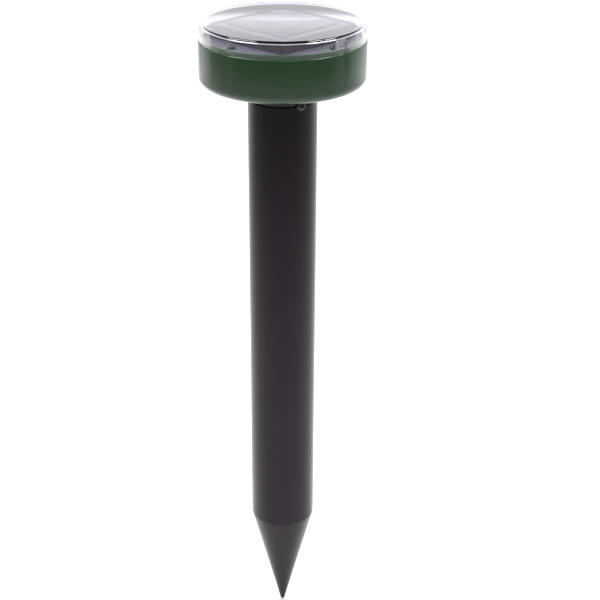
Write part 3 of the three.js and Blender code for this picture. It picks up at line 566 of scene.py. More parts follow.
zinc = textured("zinc_steel", (0.5, 0.51, 0.53), 0.32, Metallic=1, shade=0.12, patch=500, rough=0.1,
                bump=0.06, grain=4000)
bright = textured("bright_aluminium", (0.7, 0.71, 0.72), 0.28, Metallic=1, patch=300, bump=0.04,
                  grain=3000, stretch=(1, 1, 8))
copper = textured("enamelled_copper", (0.45, 0.14, 0.04), 0.3, Metallic=1, shade=0.15, patch=800,
                  bump=0.03)
solder = textured("tinned_copper", (0.62, 0.62, 0.6), 0.3, Metallic=1, patch=700, bump=0.08)
rubber = textured("rubber", (0.014, 0.014, 0.015), 0.7, shade=0.15, bump=0.1)
foam = textured("foam", (0.02, 0.02, 0.022), 0.95, shade=0.35, patch=900, bump=0.6, grain=2600)
paper = textured("pressed_paper", (0.018, 0.018, 0.02), 0.85, shade=0.3, patch=700, bump=0.25, grain=5200)
ferrite = textured("ferrite", (0.03, 0.03, 0.032), 0.55, shade=0.2, patch=600, rough=0.12, bump=0.12,
                   grain=4200)
moulding = textured("chip_moulding", (0.012, 0.012, 0.012), 0.55, shade=0.15, patch=900, bump=0.12,
                    grain=9000)
nylon = textured("nylon", (0.76, 0.74, 0.68), 0.45, Subsurface_Weight=0.1, bump=0.05)
sleeve = textured("cell_sleeve", (0.028, 0.16, 0.34), 0.3, Coat_Weight=0.5, bump=0.04, grain=700)
band = textured("cell_band", (0.55, 0.57, 0.6), 0.3, Metallic=0.7, bump=0.04, grain=700)
laminate = textured("laminate_edge", (0.2, 0.19, 0.08), 0.6, shade=0.2, patch=900, bump=0.15)
phenolic = textured("phenolic", (0.16, 0.06, 0.02), 0.5, shade=0.2, bump=0.1)
knob_black = textured("knob_black", (0.012, 0.012, 0.013), 0.4, bump=0.06, grain=4000)
red_pvc = textured("red_pvc", (0.42, 0.012, 0.012), 0.38, bump=0.03)
black_pvc = textured("black_pvc", (0.008, 0.008, 0.008), 0.38, bump=0.03)
silicon = silicon_material()
solder_mask = board_material()

# ---- camera, light and floor

# The studio's places and sizes are in metres. The pitch is in degrees, the lens in millimetres.
CAMERA_DISTANCE = 0.7564
CAMERA_HEIGHT = 0.2210
CAMERA_PITCH = 25.306
CAMERA_LENS = 82.45
CAMERA_SHIFT = 0.029
FLOOR_SIZE = 12
FLOOR_SPACE = 0.001  # below the point
MIDDLE = (0, 0, -0.15)  # of the object, where the side panels aim


def add_camera():
    data = bpy.data.cameras.new("camera")
    data.lens = CAMERA_LENS
    data.sensor_width = 36
    data.shift_x = CAMERA_SHIFT
    made = bpy.data.objects.new("camera", data)
    made.location = (0, -CAMERA_DISTANCE, CAMERA_HEIGHT)
    made.rotation_euler = (math.radians(90 - CAMERA_PITCH), 0, 0)
    scene.collection.objects.link(made)
    scene.camera = made


def add_softbox(name, place, aim, size, radiance, reflected=True):
    """A one-sided panel of an even radiance, facing its aim."""
    data = bpy.data.lights.new(name, "AREA")
    data.shape = "RECTANGLE"
    data.size, data.size_y = size
    data.energy = radiance * math.pi * size[0] * size[1]
    made = bpy.data.objects.new(name, data)
    made.location = place
    made.rotation_euler = (Vector(aim) - Vector(place)).to_track_quat("-Z", "Y").to_euler()
    made.visible_camera = False
    made.visible_glossy = reflected
    made.visible_transmission = reflected
    scene.collection.objects.link(made)


def add_world(ambient, backdrop):
    """A dim studio with a white backdrop low behind the object, fading upwards."""
    world = bpy.data.worlds.new("studio")
    world.use_nodes = True
    tree = world.node_tree
    background = tree.nodes["Background"]
    direction = tree.nodes.new("ShaderNodeTexCoord").outputs["Generated"]
    split = tree.nodes.new("ShaderNodeSeparateXYZ")
    tree.links.new(direction, split.inputs["Vector"])

    def fade(output, start, end):
        ramp = tree.nodes.new("ShaderNodeMapRange")
        ramp.interpolation_type = "SMOOTHSTEP"
        set_inputs(ramp, From_Min=start, From_Max=end)
        tree.links.new(split.outputs[output], ramp.inputs["Value"])
        return ramp.outputs["Result"]

    both = tree.nodes.new("ShaderNodeMath")
    both.operation = "MULTIPLY"
    tree.links.new(fade("Y", 0.2, 0.85), both.inputs[0])
    tree.links.new(fade("Z", 0.85, 0.3), both.inputs[1])
    tree.links.new(mixed(tree, both.outputs["Value"], ambient, backdrop), background.inputs["Color"])
    scene.world = world


def add_floor():
    bm = bmesh.new()
    bmesh.ops.create_grid(bm, x_segments=1, y_segments=1, size=FLOOR_SIZE)
    floor = mesh_object("studio_floor", bm)
    floor.location.z = POINT_Z * MM - FLOOR_SPACE
    floor.data.materials.append(principled("pale_floor", (0.9, 0.9, 0.9), 0.9))


def add_studio():
    scene.view_settings.view_transform = "Standard"
    add_world(ambient=(0.12, 0.12, 0.12), backdrop=(1.36, 1.34, 1.42))
    add_floor()
    add_softbox("overhead", (0, -0.05, 0.62), (0, -0.05, -0.36), (0.7, 0.6), 10.5, reflected=False)
    for side in (-1, 1):
        add_softbox("lamp", (side * 0.32, 0.12, 0.66), (0, 0, 0.03), (0.34, 0.26), 9)
    add_softbox("rear", (0, 1.4, 0.9), (0, 1.5, -0.36), (2.8, 1.6), 2.3, reflected=False)
    add_softbox("right", (0.95, 0.55, -0.05), MIDDLE, (0.8, 1.2), 0.52)
    add_softbox("left", (-0.95, 0.68, -0.05), MIDDLE, (0.55, 1.2), 0.52)
    add_softbox("right_fill", (1.1, -0.16, -0.1), MIDDLE, (0.3, 1.4), 0.28)
    add_softbox("left_fill", (-1.1, -0.28, -0.1), MIDDLE, (0.25, 1.4), 0.15)


add_camera()
add_studio()

# ---- head


def posts_and_tabs():
    """What stands in the housing: board posts, tray tabs, screw bosses and the switch pad."""
    made = []
    foot = POST_RADIUS + POST_FLARE
    top = BOARD_BOTTOM - GAP / 2
    for x, y in BOARD_CORNERS:
        post = soften([(0, FLOOR - ROOT), (foot, FLOOR - ROOT), (foot, FLOOR - 0.05),
                       (POST_RADIUS, FLOOR + 0.1, 0.6), (POST_RADIUS, top, 0.2), (0, top)], 4)
        made.append(placed(lathe(post, 48), shift(x, y)))
    top = SEAM_Z - GAP
    depth = TAB_REACH + ROOT
    hub = HEAD_RADIUS - WALL + ROOT - depth / 2
    made += [placed(standing(0, -hub, top - TAB_THICKNESS, top, TAB_WIDTH, depth, 0.4), about(a))
             for a in QUARTERS]
    top = SCREW_Z + BOSS_WIDTH / 2
    depth = NECK_SCREW.length - (TUBE_RADIUS - TUBE_INSIDE)
    hub = NECK_OUTSIDE - ROOT - depth / 2
    made += [placed(standing(0, -hub, top - BOSS_WIDTH, top, BOSS_WIDTH, depth, 0.3), about(a))
             for a in SCREW_ANGLES]
    made.append(standing(0, SWITCH_Y, FLOOR - ROOT, SWITCH_BOTTOM - TIGHT_GAP,
                         EAR_LENGTH + 2 * ROOT, POCKET_WIDTH + 4 * ROOT, 0.3))
    return merged(*made)


def housing_holes():
    """Screw holes of the posts, tabs, bosses and switch pad, and the knob's slot."""
    made = [placed(disc(BOARD_SCREW.shank + GAP / 2, FLOOR + POST_SOLID, BOARD_BOTTOM + THROUGH),
                   shift(x, y)) for x, y in BOARD_CORNERS]
    made += [placed(disc(TRAY_SCREW.shank + GAP / 2, SEAM_Z - RIM_DEPTH - 2 * THROUGH, SEAM_Z),
                    about(a), shift(y=-TRAY_SCREW_RADIUS)) for a in QUARTERS]
    made += [placed(disc(NECK_SCREW.shank + 2 * TIGHT_GAP, NECK_INSIDE / 2, TUBE_RADIUS),
                    about(a), shift(z=SCREW_Z), about(90, "X")) for a in SCREW_ANGLES]
    made += [placed(disc(SWITCH_SCREW.shank + 0.12, SWITCH_BOTTOM - 2.1, SWITCH_BOTTOM + THROUGH),
                    shift(x, SWITCH_Y)) for x in (-EAR_X, EAR_X)]
    made.append(standing(0, SWITCH_Y, POCKET_DEPTH - THROUGH, SWITCH_BOTTOM + THROUGH, *KNOB_SLOT, 0.2))
    return merged(*made)


def make_housing():
    rim = SEAM_Z - RIM_DEPTH
    inside = HEAD_RADIUS - WALL
    near = LIP_OUTSIDE + 2 * GAP
    far = near + GASKET_WIDTH + GAP
    groove = low("cover_gasket").z - GAP / 2
    shell = soften([
        (SOUND_HOLE, FLOOR, 0.4), (inside, FLOOR, 1.2), (inside, rim, 0.5),
        (LIP_INSIDE, rim + inside - LIP_INSIDE, 0.5), (LIP_INSIDE, LIP_TOP, 0.3),
        (LIP_OUTSIDE, LIP_TOP, 0.35), (LIP_OUTSIDE, SEAM_Z),
        (near, SEAM_Z, 0.1), (near, groove), (far, groove), (far, SEAM_Z, 0.1),
        (HEAD_RADIUS, SEAM_Z, 0.35), (HEAD_RADIUS, 0, FILLET),
        (SEAT_RADIUS, 0, 0.15), (SEAT_RADIUS, SEAT_DEPTH), (NECK_OUTSIDE, SEAT_DEPTH, 0.3),
        (NECK_OUTSIDE, NECK_BOTTOM, 0.5), (NECK_INSIDE, NECK_BOTTOM, 0.5), (NECK_INSIDE, 0, 0.5),
        (SOUND_HOLE, 0, 0.4),
    ])
    made = mesh_object("housing", lathe(shell))
    join(made, posts_and_tabs())
    pocket = plate(POCKET_LENGTH, POCKET_WIDTH, 1.2, -THROUGH, POCKET_DEPTH, 0.2)
    carve(made, placed(pocket, shift(y=SWITCH_Y)), housing_holes())
    piece(made, "head_housing", green)


def make_gasket():
    inside = LIP_OUTSIDE + 2.5 * GAP
    bottom = low("cover_gasket").z
    made = mesh_object("gasket", ring(inside, inside + GASKET_WIDTH, bottom, SEAM_Z, 0.2, SEGMENTS))
    piece(made, "cover_gasket", rubber)


def make_cover():
    edge = COVER_TOP - COVER_CROWN
    under = edge - COVER_SKIN
    inside = COVER_RADIUS - COVER_WALL
    outer = soften([(0, COVER_BOTTOM), (COVER_RADIUS, COVER_BOTTOM, 0.25),
                    (COVER_RADIUS, edge, COVER_FILLET), (0, edge + COVER_CROWN)], 10)[1:]
    inner = soften([(0, COVER_BOTTOM), (inside, COVER_BOTTOM, 0.25),
                    (inside, under, COVER_INNER_FILLET), (0, under + COVER_CROWN)], 6)[1:]
    made = mesh_object("cover", lathe(outer + inner[::-1]))
    hub = inside + 0.4 - RIB_DEPTH / 2
    rib = standing(0, -hub, LIP_TOP + GAP, under - RIB_SPACE, RIB_WIDTH, RIB_DEPTH, 0.3)
    join(made, placed(rib, about(RIB_ANGLE)))
    piece(made, "clear_cover", clear_cover)


# ---- stake


def make_stake():
    shell = soften([
        (0, POINT_Z), (TIP_RADIUS, POINT_Z, 0.55), (TUBE_RADIUS, SHOULDER_Z, 9),
        (TUBE_RADIUS, SCREW_Z - GROOVE_WIDTH / 2, 0.3), (TUBE_RADIUS - GROOVE_DEPTH, SCREW_Z, 0.5),
        (TUBE_RADIUS, SCREW_Z + GROOVE_WIDTH / 2, 0.3), (TUBE_RADIUS, TUBE_TOP, 0.5),
        (TUBE_INSIDE, TUBE_TOP, 0.4), (TUBE_INSIDE, SHOULDER_Z, 6),
        (TIP_RADIUS * 2, SHOULDER_Z - SPIKE_HOLLOW, 1), (0, SHOULDER_Z - SPIKE_HOLLOW),
    ])
    made = mesh_object("stake", lathe(shell))
    holes = [placed(disc(NECK_SCREW.shank + GAP, TUBE_RADIUS / 2, TUBE_RADIUS + 4, segments=32),
                    about(a), shift(z=SCREW_Z), about(90, "X")) for a in SCREW_ANGLES]
    carve(made, merged(*holes))
    piece(made, "stake_tube", stake_black)


def screw(head, dome, shank, length):
    """A pan-head screw standing on z = 0 with its threaded shank down and a cross recess."""
    root = shank * 0.8
    pitch = shank * 0.5
    thread = shank * 1.4 - length
    outline = [(0, -length), (shank * 0.3, -length), (root, thread)]
    for k in range(int((-thread - 0.6) / pitch)):
        start = thread + k * pitch
        outline += [(shank, start + pitch / 2), (root, start + pitch)]
    outline += [(shank, -0.3), (shank, 0), (head, 0, head * 0.08), (head, dome * 0.5, head * 0.25),
                (head * 0.72, dome, head * 0.5), (0, dome)]
    made = mesh_object("screw", lathe(soften(outline, 4), 48))
    arm = (head * 1.1, head * 0.26, dome)
    recess = [placed(block((0, 0, dome * 0.95), arm, head * 0.05, 2), about(a)) for a in (0, 90)]
    return carve(made, *recess)


def make_screw(node, sizes, material, slot, *matrices):
    made = screw(*sizes)
    place = Matrix.Identity(4)
    for matrix in matrices:
        place = place @ matrix
    made.data.transform(place)
    piece(made, node, material)


def make_screws():
    dark = (black_steel, "screw_black")
    plated = (nickel, "screw_steel")
    for i, angle in enumerate(SCREW_ANGLES):
        seat = shift(y=-(TUBE_RADIUS + GAP / 2), z=SCREW_Z)
        make_screw(f"neck_screw_{i + 1}", NECK_SCREW, *dark,
                   about(angle), seat, about(90, "X"), about(20))
    for i, angle in enumerate(QUARTERS):
        seat = shift(y=-TRAY_SCREW_RADIUS, z=TRAY_BOTTOM + TRAY_PLATE + TIGHT_GAP)
        make_screw(f"tray_screw_{i + 1}", TRAY_SCREW, *dark, about(angle), seat, about(15 * i))
    for i, (x, y) in enumerate(BOARD_CORNERS):
        seat = shift(x, y, BOARD_TOP + TIGHT_GAP)
        make_screw(f"board_screw_{i + 1}", BOARD_SCREW, *plated, seat, about(25 * i))
    for i, x in enumerate((-EAR_X, EAR_X)):
        seat = shift(x, SWITCH_Y, high(f"switch_screw_{i + 1}").z - SWITCH_SCREW.dome)
        make_screw(f"switch_screw_{i + 1}", SWITCH_SCREW, *plated, seat, about(30))


# ---- tray and panel


def cornerwise(side, corner, bottom, top, bevel=0.0):
    return plate(side, side, corner, bottom, top, bevel, 45)


def make_tray():
    rim = TRAY_BOTTOM + TRAY_PLATE
    made = mesh_object("tray", lathe(soften([
        (0, TRAY_BOTTOM), (TRAY_RADIUS, TRAY_BOTTOM, 0.3), (TRAY_RADIUS, rim, 0.3), (0, rim)], 3)))
    bed = low("solar_board").z - TIGHT_GAP
    bottom = TRAY_BOTTOM - THROUGH
    join(made, cornerwise(TRAY_SIDE, 2.2, TRAY_BOTTOM + 0.4, TRAY_TOP, 0.35))
    carve(made, cornerwise(TRAY_SIDE - 2 * TRAY_FRAME, 1, bed, TRAY_TOP + THROUGH),
          cornerwise(TRAY_SIDE - 2 * TRAY_PLATE, 1, bottom, bed - TRAY_PLATE, 0.3))
    holes = [placed(disc(2, TRAY_BOTTOM, bed + THROUGH), shift(y=LEAD_HOLE_Y))]
    holes += [placed(disc(TRAY_SCREW.shank + GAP, bottom, rim + THROUGH), about(a),
                     shift(y=-TRAY_SCREW_RADIUS)) for a in QUARTERS]
    carve(made, merged(*holes))
    piece(made, "panel_tray", tray_black)


def make_panel():
    for node, material, slot, bevel in (("solar_board", tray_black, "panel_backing", 0.12),
                                        ("panel_resin", resin, "panel_resin", 0.1)):
        made = mesh_object(node, cornerwise(PANEL_SIDE, 0.6, *levels(node), bevel))
        piece(made, node, material)


def make_cells():
    """Strip cells, each with two soldered ribbons along it."""
    span = PANEL_SIDE - 2 * CELL_MARGIN
    width = (span - (CELL_COUNT - 1) * CELL_SPACE) / CELL_COUNT
    ribbon = 0.03  # how far a ribbon stands out of its wafer
    for i in range(CELL_COUNT):
        node = f"solar_cell_{i + 1}"
        across = -span / 2 + width / 2 + i * (width + CELL_SPACE)
        bottom, top = levels(node)
        wafer = standing(across, 0, bottom, top - ribbon, width, span, 0.03)
        ribbons = [standing(across + side * width / 4, 0, top - 0.08, top, 0.9, span - 0.6, 0.01)
                   for side in (-1, 1)]
        made = mesh_object(node, wafer)
        join(made, merged(*ribbons))
        made.data.transform(about(45))
        piece(made, node, silicon)
        paint(made, solder, lambda centre: centre.z > top - 0.025)


# ---- electronics


def make_board():
    width, depth = (high("main_board") - low("main_board")).xy
    made = mesh_object("board", plate(width, depth, 1.5, BOARD_BOTTOM, BOARD_TOP, 0.1))
    holes = [placed(disc(BOARD_SCREW.shank + 0.35, BOARD_BOTTOM - THROUGH, BOARD_TOP + THROUGH),
                    shift(x, y)) for x, y in BOARD_CORNERS]
    carve(made, merged(*holes))
    piece(made, "main_board", solder_mask)
    paint(made, laminate, lambda centre: BOARD_BOTTOM + 0.15 < centre.z < BOARD_TOP - 0.15)


def make_chip():
    node = "controller_chip"
    centre, bottom, top = middle(node), *levels(node)
    length, width, standoff, pitch = 9.4, 6.4, 0.6, 2.54
    shoulder = bottom + 2  # middle height of the flat part of a leg
    made = mesh_object("chip", standing(centre.x, centre.y, bottom + standoff, top, length, width, 0.35))
    carve(made, placed(disc(0.9, top - 0.4, top + THROUGH), shift(centre.x - length / 2, centre.y)))
    for place in (-1.5, -0.5, 0.5, 1.5):
        x = centre.x + place * pitch
        for side in (-1, 1):
            y = centre.y + side * 3.45
            join(made, standing(x, y, shoulder - 0.2, shoulder + 0.2, 1.1, 1.2, 0.08))
            y = centre.y + side * 3.87
            join(made, standing(x, y, bottom, shoulder + 0.1, 0.5, 0.3, 0.08))
    piece(made, node, moulding)
    paint(made, solder, lambda face: abs(face.y - centre.y) > width / 2 + 0.05 or face.z < bottom + 0.55)


def make_capacitor():
    node = "capacitor"
    centre, bottom, top = middle(node), *levels(node)
    radius = 3.15
    groove = bottom + 1.1
    outline = soften([
        (0, bottom), (radius - 0.15, bottom, 0.2), (radius, bottom + 0.5, 0.2),
        (radius, groove - 0.2, 0.1), (radius - 0.25, groove, 0.1), (radius, groove + 0.2, 0.1),
        (radius, top, 0.35), (0, top)], 4)
    made = mesh_object("can", placed(lathe(outline, 64), shift(centre.x, centre.y)))
    carve(made, *[placed(block((0, 0, top), (4, 0.25, 0.3), 0.05), shift(centre.x, centre.y), about(a))
                  for a in (0, 90)])
    piece(made, node, bright)
    paint(made, rubber, lambda face: face.z < bottom + 0.3)


def make_inductor():
    node = "inductor"
    centre, bottom, top = middle(node), *levels(node)
    radius, waist, flange, edge = 4, 3.2, 1, 1.1
    turns = 6
    wind = (top - bottom - 2 * edge) / turns
    outline = [(0, bottom), (radius, bottom, 0.2), (radius, bottom + flange, 0.2)]
    for k in range(turns):
        start = bottom + edge + k * wind
        bulge = waist + wind * 0.35
        outline += [(waist, start), (bulge, start + wind * 0.2), (bulge, start + wind * 0.8)]
    outline += [(waist, top - edge), (radius, top - flange, 0.2), (radius, top, 0.2), (0, top)]
    made = mesh_object("drum", placed(lathe(soften(outline, 3), 64), shift(centre.x, centre.y)))
    piece(made, node, ferrite)
    paint(made, copper, lambda face: bottom + edge - 0.05 < face.z < top - edge + 0.05)


def make_transistor():
    node = "transistor"
    bottom, top = levels(node)
    x, y = 9, 5  # its round side's axis, which the flat side keeps off the middle of its box
    radius, standoff, pitch, leg = 2.3, 1.2, 1.27, 0.45
    made = mesh_object("transistor", placed(disc(radius, bottom + standoff, top, 0.15), shift(x, y)))
    carve(made, standing(x, y - 2.6, bottom, top + THROUGH, 6, 2.2))
    for dx in (-pitch, 0, pitch):
        join(made, standing(x + dx, y, bottom, bottom + standoff + 0.2, leg, leg, 0.05))
    piece(made, node, moulding)
    paint(made, solder, lambda face: face.z < bottom + standoff - 0.05)


def make_connector():
    node = "panel_connector"
    centre, bottom, top = middle(node), *levels(node)
    length, width, wall = 7.4, 5.6, 0.7
    cut = top + THROUGH
    made = mesh_object("connector", standing(centre.x, centre.y, bottom, top, length, width, 0.25))
    mouth = standing(centre.x, centre.y, top - MOUTH_DEPTH, cut, length - 2 * wall, width - 2 * wall, 0.1)
    keys = [standing(centre.x + x, centre.y - width / 2, top - 1.2, cut, 1, 1.6) for x in (-1.6, 1.6)]
    carve(made, mouth, *keys)
    piece(made, node, nylon)


# ---- batteries


def make_cradle(node, place):
    """A base with two saddles bored for the cell, and an upright wall at each end."""
    bottom, top = levels(node)
    width, length, base, end = 12, 58.6, 0.9, 1.2
    bore = length / 2 - end - 0.05
    made = mesh_object("cradle", standing(0, 0, bottom, bottom + base, width, length, 0.25))
    for y in (-15, 15):
        join(made, standing(0, y, bottom, CELL_Z - 3, width + 1.4, 4, 0.3))
    carve(made, placed(disc(AA_RADIUS + GAP, -bore, bore, 0, 96), shift(z=CELL_Z), about(90, "X")))
    for side in (-1, 1):
        wall = standing(0, side * (length - end) / 2, bottom, top, width, end, 0.3)
        join(made, wall)
    made.data.transform(place)
    piece(made, node, tray_black)


def make_cell(node, place):
    """An AA cell along +Y with a printed sleeve, left blank, and bare ends."""
    foot, button = CELL_SPAN
    shoulder = button - 1.4
    base, cap, nub = 5.6, 4.6, 2.7  # radii of the bare ends and the button
    outline = soften([
        (0, foot), (base, foot, 0.2), (base, foot + 0.15, 0.1), (AA_RADIUS, foot + 0.15, 0.5),
        (AA_RADIUS, shoulder, 0.6), (cap, shoulder, 0.15), (cap, shoulder - 0.25),
        (nub, shoulder - 0.25, 0.1), (nub, button, 0.35), (0, button)], 4)
    made = mesh_object("cell", placed(lathe(outline, 96), place, shift(z=CELL_Z), about(-90, "X")))
    piece(made, node, sleeve)
    turn = place.inverted()

    def along(centre):
        local = turn @ (centre * MM) / MM
        return local.y, math.hypot(local.x, local.z - CELL_Z)

    def banded(centre):
        y, radius = along(centre)
        return y > shoulder - 12 and radius > cap + 0.1

    def bare(centre):
        y, radius = along(centre)
        return y < foot + 0.16 or radius < cap + 0.05

    paint(made, band, banded)
    paint(made, zinc, bare)


def make_contact(node, place):
    """The flat contact at the button, with a solder tab at its top."""
    y = middle("button_contact_left").y
    size, sheet = 9, 0.4
    made = mesh_object("contact", block((0, y, CELL_Z), (size, sheet, size), 0.12))
    join(made, block((-3, y, CELL_Z + 5.2), (2.2, sheet, 2.4), 0.12))
    made.data.transform(place)
    piece(made, node, nickel)


def make_spring(node, place):
    """A conical contact spring along +Y from its wide foot."""
    start, end = SPRING_SPAN
    wire, turns, steps = 0.45, 3.5, 120
    foot, tip = 4.4, 2.5
    stations = []
    for k in range(steps + 1):
        t = k / steps
        a = 2 * math.pi * turns * t
        radius = foot + (tip - foot) * t
        y = start + wire + t * (end - start - 2 * wire)
        stations.append((Vector((radius * math.cos(a), y, CELL_Z + radius * math.sin(a))), wire))
    made = mesh_object("spring", placed(swept(stations, 16), place))
    piece(made, node, nickel)


def make_batteries():
    for side, x, turn in (("left", -CELL_X, 0), ("right", CELL_X, 180)):
        place = shift(x) @ about(turn)
        make_cradle(f"battery_cradle_{side}", place)
        make_cell(f"battery_cell_{side}", place)
        make_contact(f"button_contact_{side}", place)
        make_spring(f"battery_spring_{side}", place)


# ---- loudspeaker


def make_basket():
    flange = low("speaker_basket").z
    back = high("speaker_basket").z
    sheet = 0.8
    side = flange + 2.4  # top of the upright side
    wide, narrow = 10.4, 4.9  # radii of the back
    shell = soften([
        (FLANGE_INSIDE, flange, 0.2), (FLANGE_OUTSIDE, flange, 0.3),
        (FLANGE_OUTSIDE, flange + sheet, 0.3), (FLANGE_INSIDE + sheet, flange + sheet, 0.5),
        (FLANGE_INSIDE + sheet, side, 0.8), (wide, back, 0.9), (narrow, back, 0.2),
        (narrow, back - sheet, 0.2), (wide - sheet / 2, back - sheet, 0.6),
        (FLANGE_INSIDE, side - sheet / 4, 0.5),
    ], 4)
    made = mesh_object("basket", lathe(shell, 128))
    windows = [placed(standing(0, -13.4, side, back - 1.4, 7, 6, 0.5), about(a)) for a in QUARTERS]
    carve(made, merged(*windows))
    piece(made, "speaker_basket", zinc)


def make_speaker_ring(node, inside, outside, edge, material):
    made = mesh_object(node, ring(inside, outside, *levels(node), edge))
    piece(made, node, material)


def make_yoke():
    """A plate with the pole on its front and a dimple in its back."""
    node = "speaker_yoke"
    bottom, top = levels(node)
    pole, sheet, dimple = 3.1, 1, 0.4
    outline = soften([
        (0, bottom), (pole, bottom, 0.2), (pole, top - sheet, 0.2), (PLATE_RADIUS, top - sheet, 0.1),
        (PLATE_RADIUS, top, 0.3), (pole + 0.3, top, 0.2), (pole - 0.5, top - dimple, 0.2),
        (0, top - dimple)], 4)
    made = mesh_object(node, lathe(outline, 96))
    piece(made, node, zinc)


def make_speaker():
    """The parts of the loudspeaker that stay still, from the front to the back."""
    make_speaker_ring("speaker_foam", FLANGE_INSIDE, FLANGE_OUTSIDE, 0.2, foam)
    make_basket()
    make_speaker_ring("speaker_front_plate", 4.3, PLATE_RADIUS, 0.15, zinc)
    make_speaker_ring("speaker_magnet", 5.6, 9.6, 0.25, ferrite)
    make_yoke()


def make_cone():
    """The cone, with pressed rings, and its dust cap."""
    rim = low("speaker_cone").z
    apex = high("speaker_cone").z
    neck, skin = COIL_OUTSIDE, 0.4
    rings, ring_height = 5, 0.12

    def slope(offset, r):
        t = (r - neck) / (CONE_RADIUS - neck)
        wave = ring_height * math.sin(math.pi * (2 * rings * t)) * math.sin(math.pi * t)
        return apex - skin + offset - t * (apex - skin - rim) + wave

    def bowl(drop, r):
        return apex - drop + 0.75 * (r / neck) ** 2

    steps, cap_steps = 60, 10
    radii = [neck + (CONE_RADIUS - neck) * k / steps for k in range(steps + 1)]
    under = [(r, slope(0, r)) for r in radii]
    over = [(r, slope(skin, r)) for r in reversed(radii)]
    cap = [neck * k / cap_steps for k in range(cap_steps)]
    dome = [(r, bowl(1.15, r)) for r in cap]
    top = [(r, bowl(0.8, r)) for r in reversed(cap)]
    made = mesh_object("cone", lathe([Vector(p) for p in dome + under + over + top], 128))
    piece(made, "speaker_cone", paper, "cone_body")


def make_coil():
    node = "voice_coil"
    bottom, top = levels(node)
    turns = 14
    wind = (top - bottom) / turns
    crease = COIL_OUTSIDE - 0.1
    outline = [(COIL_INSIDE, top), (COIL_INSIDE, bottom)]
    for k in range(turns):
        z = bottom + k * wind
        outline += [(crease, z), (COIL_OUTSIDE, z + wind * 0.3), (COIL_OUTSIDE, z + wind * 0.7)]
    outline.append((crease, top))
    made = mesh_object(node, lathe(outline, 96))
    piece(made, node, copper, "cone_body")


def make_surround():
    """The half roll between the cone and the basket."""
    inside, outside, sheet = CONE_RADIUS + GAP / 2, FLANGE_INSIDE - GAP / 2, 0.3
    hub = Vector(((inside + outside) / 2, low("speaker_cone").z - GAP))
    radius = (outside - inside) / 2
    steps = 16
    lower = [180 + 180 * k / steps for k in range(steps + 1)]
    outline = [(math.radians(a), radius) for a in lower]
    outline += [(math.radians(a), radius - sheet) for a in reversed(lower)]
    turned = [hub + Vector((math.cos(a), math.sin(a))) * r for a, r in outline]
    made = mesh_object("surround", lathe(turned, 128))
    piece(made, "cone_surround", rubber)


# ---- power switch


def make_switch():
    node = "switch_housing"
    bottom, top = levels(node)
    can = bottom + 5
    made = mesh_object("switch", standing(0, SWITCH_Y, bottom, can, SWITCH_LENGTH, SWITCH_WIDTH, 0.35))
    ears = plate(EAR_LENGTH, SWITCH_WIDTH, 1.2, bottom, bottom + EAR_THICKNESS, 0.1)
    join(made, placed(ears, shift(y=SWITCH_Y)))
    for x in (-3, 0, 3):
        join(made, standing(x, SWITCH_Y, can - 0.2, top, 0.9, 0.4, 0.08))
    slot = standing(0, SWITCH_Y, bottom - THROUGH, bottom + 1.6, *KNOB_SLOT, 0.15)
    holes = [placed(disc(SWITCH_SCREW.shank + 0.25, bottom - THROUGH, bottom + 2 * THROUGH),
                    shift(x, SWITCH_Y)) for x in (-EAR_X, EAR_X)]
    carve(made, slot, merged(*holes))
    piece(made, node, zinc)
    paint(made, phenolic,
          lambda face: abs(face.z - can) < 0.05 and abs(face.x) < SWITCH_LENGTH / 2 - 0.3)


def make_knob():
    node = "switch_knob"
    centre, bottom, top = middle(node), *levels(node)
    length, width, groove = 3, 2.4, 0.35
    made = mesh_object("knob", standing(centre.x, centre.y, bottom, top, length, width, 0.2))
    grooves = [standing(centre.x + dx, centre.y, bottom - THROUGH, bottom + groove, groove,
                        width + THROUGH) for dx in (-0.8, 0, 0.8)]
    carve(made, merged(*grooves))
    piece(made, node, knob_black, "knob_body")


# ---- leads


def make_lead(node, insulation, slot, points):
    """A lead along the points of the CAD's route, its bare core showing at both ends."""
    route = curve_through(points)
    bare = GAP - 0.05
    first = (route[0] - route[1]).normalized() * bare
    last = (route[-1] - route[-2]).normalized() * bare
    stations = [(route[0] + first, CORE_RADIUS), (route[0], CORE_RADIUS)]
    stations += [(place, LEAD_RADIUS) for place in route]
    stations += [(route[-1], CORE_RADIUS), (route[-1] + last, CORE_RADIUS)]
    made = mesh_object("lead", swept(stations))
    piece(made, node, insulation, sharp=50)
    ends = (route[0] + first * 0.5, route[-1] + last * 0.5, route[0] + first, route[-1] + last)
    near = CORE_RADIUS * 1.05
    paint(made, solder, lambda centre: min((centre - end).length for end in ends) < near)


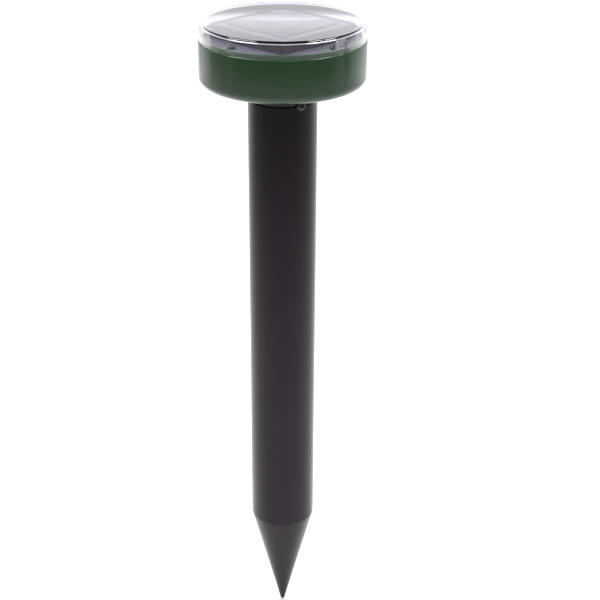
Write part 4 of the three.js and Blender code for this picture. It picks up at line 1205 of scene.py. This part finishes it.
def make_leads():
    """Each ends just clear of the terminal that it is soldered to."""
    tray_hole = low("solar_board").z - TIGHT_GAP - GAP
    board_face = BOARD_TOP + GAP
    board_underside = BOARD_BOTTOM - GAP
    connector = high("panel_connector").z - MOUTH_DEPTH + GAP
    speaker = low("speaker_basket").z + 1.6
    pins = high("switch_housing").z + 2 * GAP
    red = (red_pvc, "lead_red")
    black = (black_pvc, "lead_black")
    make_lead("panel_lead_red", *red, [
        (-0.8, -12, tray_hole), (-0.9, -12.4, 28), (-5.5, -20, 27.4), (-7.2, -24, 25),
        (-7.2, -24, connector)])
    make_lead("panel_lead_black", *black, [
        (0.8, -12, tray_hole), (0.9, -12.6, 28.4), (-2.6, -20, 27.6), (-4.8, -24, 25),
        (-4.8, -24, connector)])
    make_lead("speaker_lead_red", *red, [
        (2, 18.9, speaker), (2.4, 20.6, 7), (3.4, 22, 11), (4, 22, board_underside)])
    make_lead("speaker_lead_black", *black, [
        (-2, 18.9, speaker), (-2.4, 20.6, 7), (-3.4, 22, 11), (-4, 22, board_underside)])
    make_lead("battery_lead_red", *red, [
        (-30.2, 27.75, 17.3), (-30, 27.4, 18.6), (-27.5, 25.5, 19.2), (-21, 23, 19.6), (-16.5, 18, 19.4),
        (-16, 16, 18.6), (-16, 16, board_face)])
    make_lead("battery_lead_black", *black, [
        (22.8, 27.5, 10.25), (22, 26.4, 8.4), (20.5, 25.2, 10), (20.4, 25.2, 15), (19.6, 23.6, 18.8),
        (16.8, 18, 19.4), (16, 16, 18.6), (16, 16, board_face)])
    make_lead("battery_link", *black, [
        (-22.8, -27.5, 10.25), (-21.8, -27, 8.4), (-19.6, -27.4, 7.2), (-18.6, -30.4, 6), (-11, -36, 4.8),
        (4, -38, 4.4), (18, -35, 7), (26.5, -32, 13.5), (29.4, -30.6, 17.6), (30.2, -28.4, 18.4),
        (30.2, -27.75, 17.3)])
    make_lead("switch_lead_red", *red, [
        (3, SWITCH_Y, pins), (3.2, SWITCH_Y - 1, 16), (4, 31.5, 20), (4.4, 27, 18.8),
        (4.4, 27, board_face)])
    make_lead("switch_lead_black", *black, [
        (0, SWITCH_Y, pins), (-0.4, SWITCH_Y - 1, 16), (-2.4, 31.5, 20), (-3.6, 27, 18.8),
        (-3.6, 27, board_face)])


make_housing()
make_gasket()
make_cover()
make_stake()
make_screws()
make_tray()
make_panel()
make_cells()
make_board()
make_chip()
make_capacitor()
make_inductor()
make_transistor()
make_connector()
make_batteries()
make_speaker()
make_cone()
make_coil()
make_surround()
make_switch()
make_knob()
make_leads()
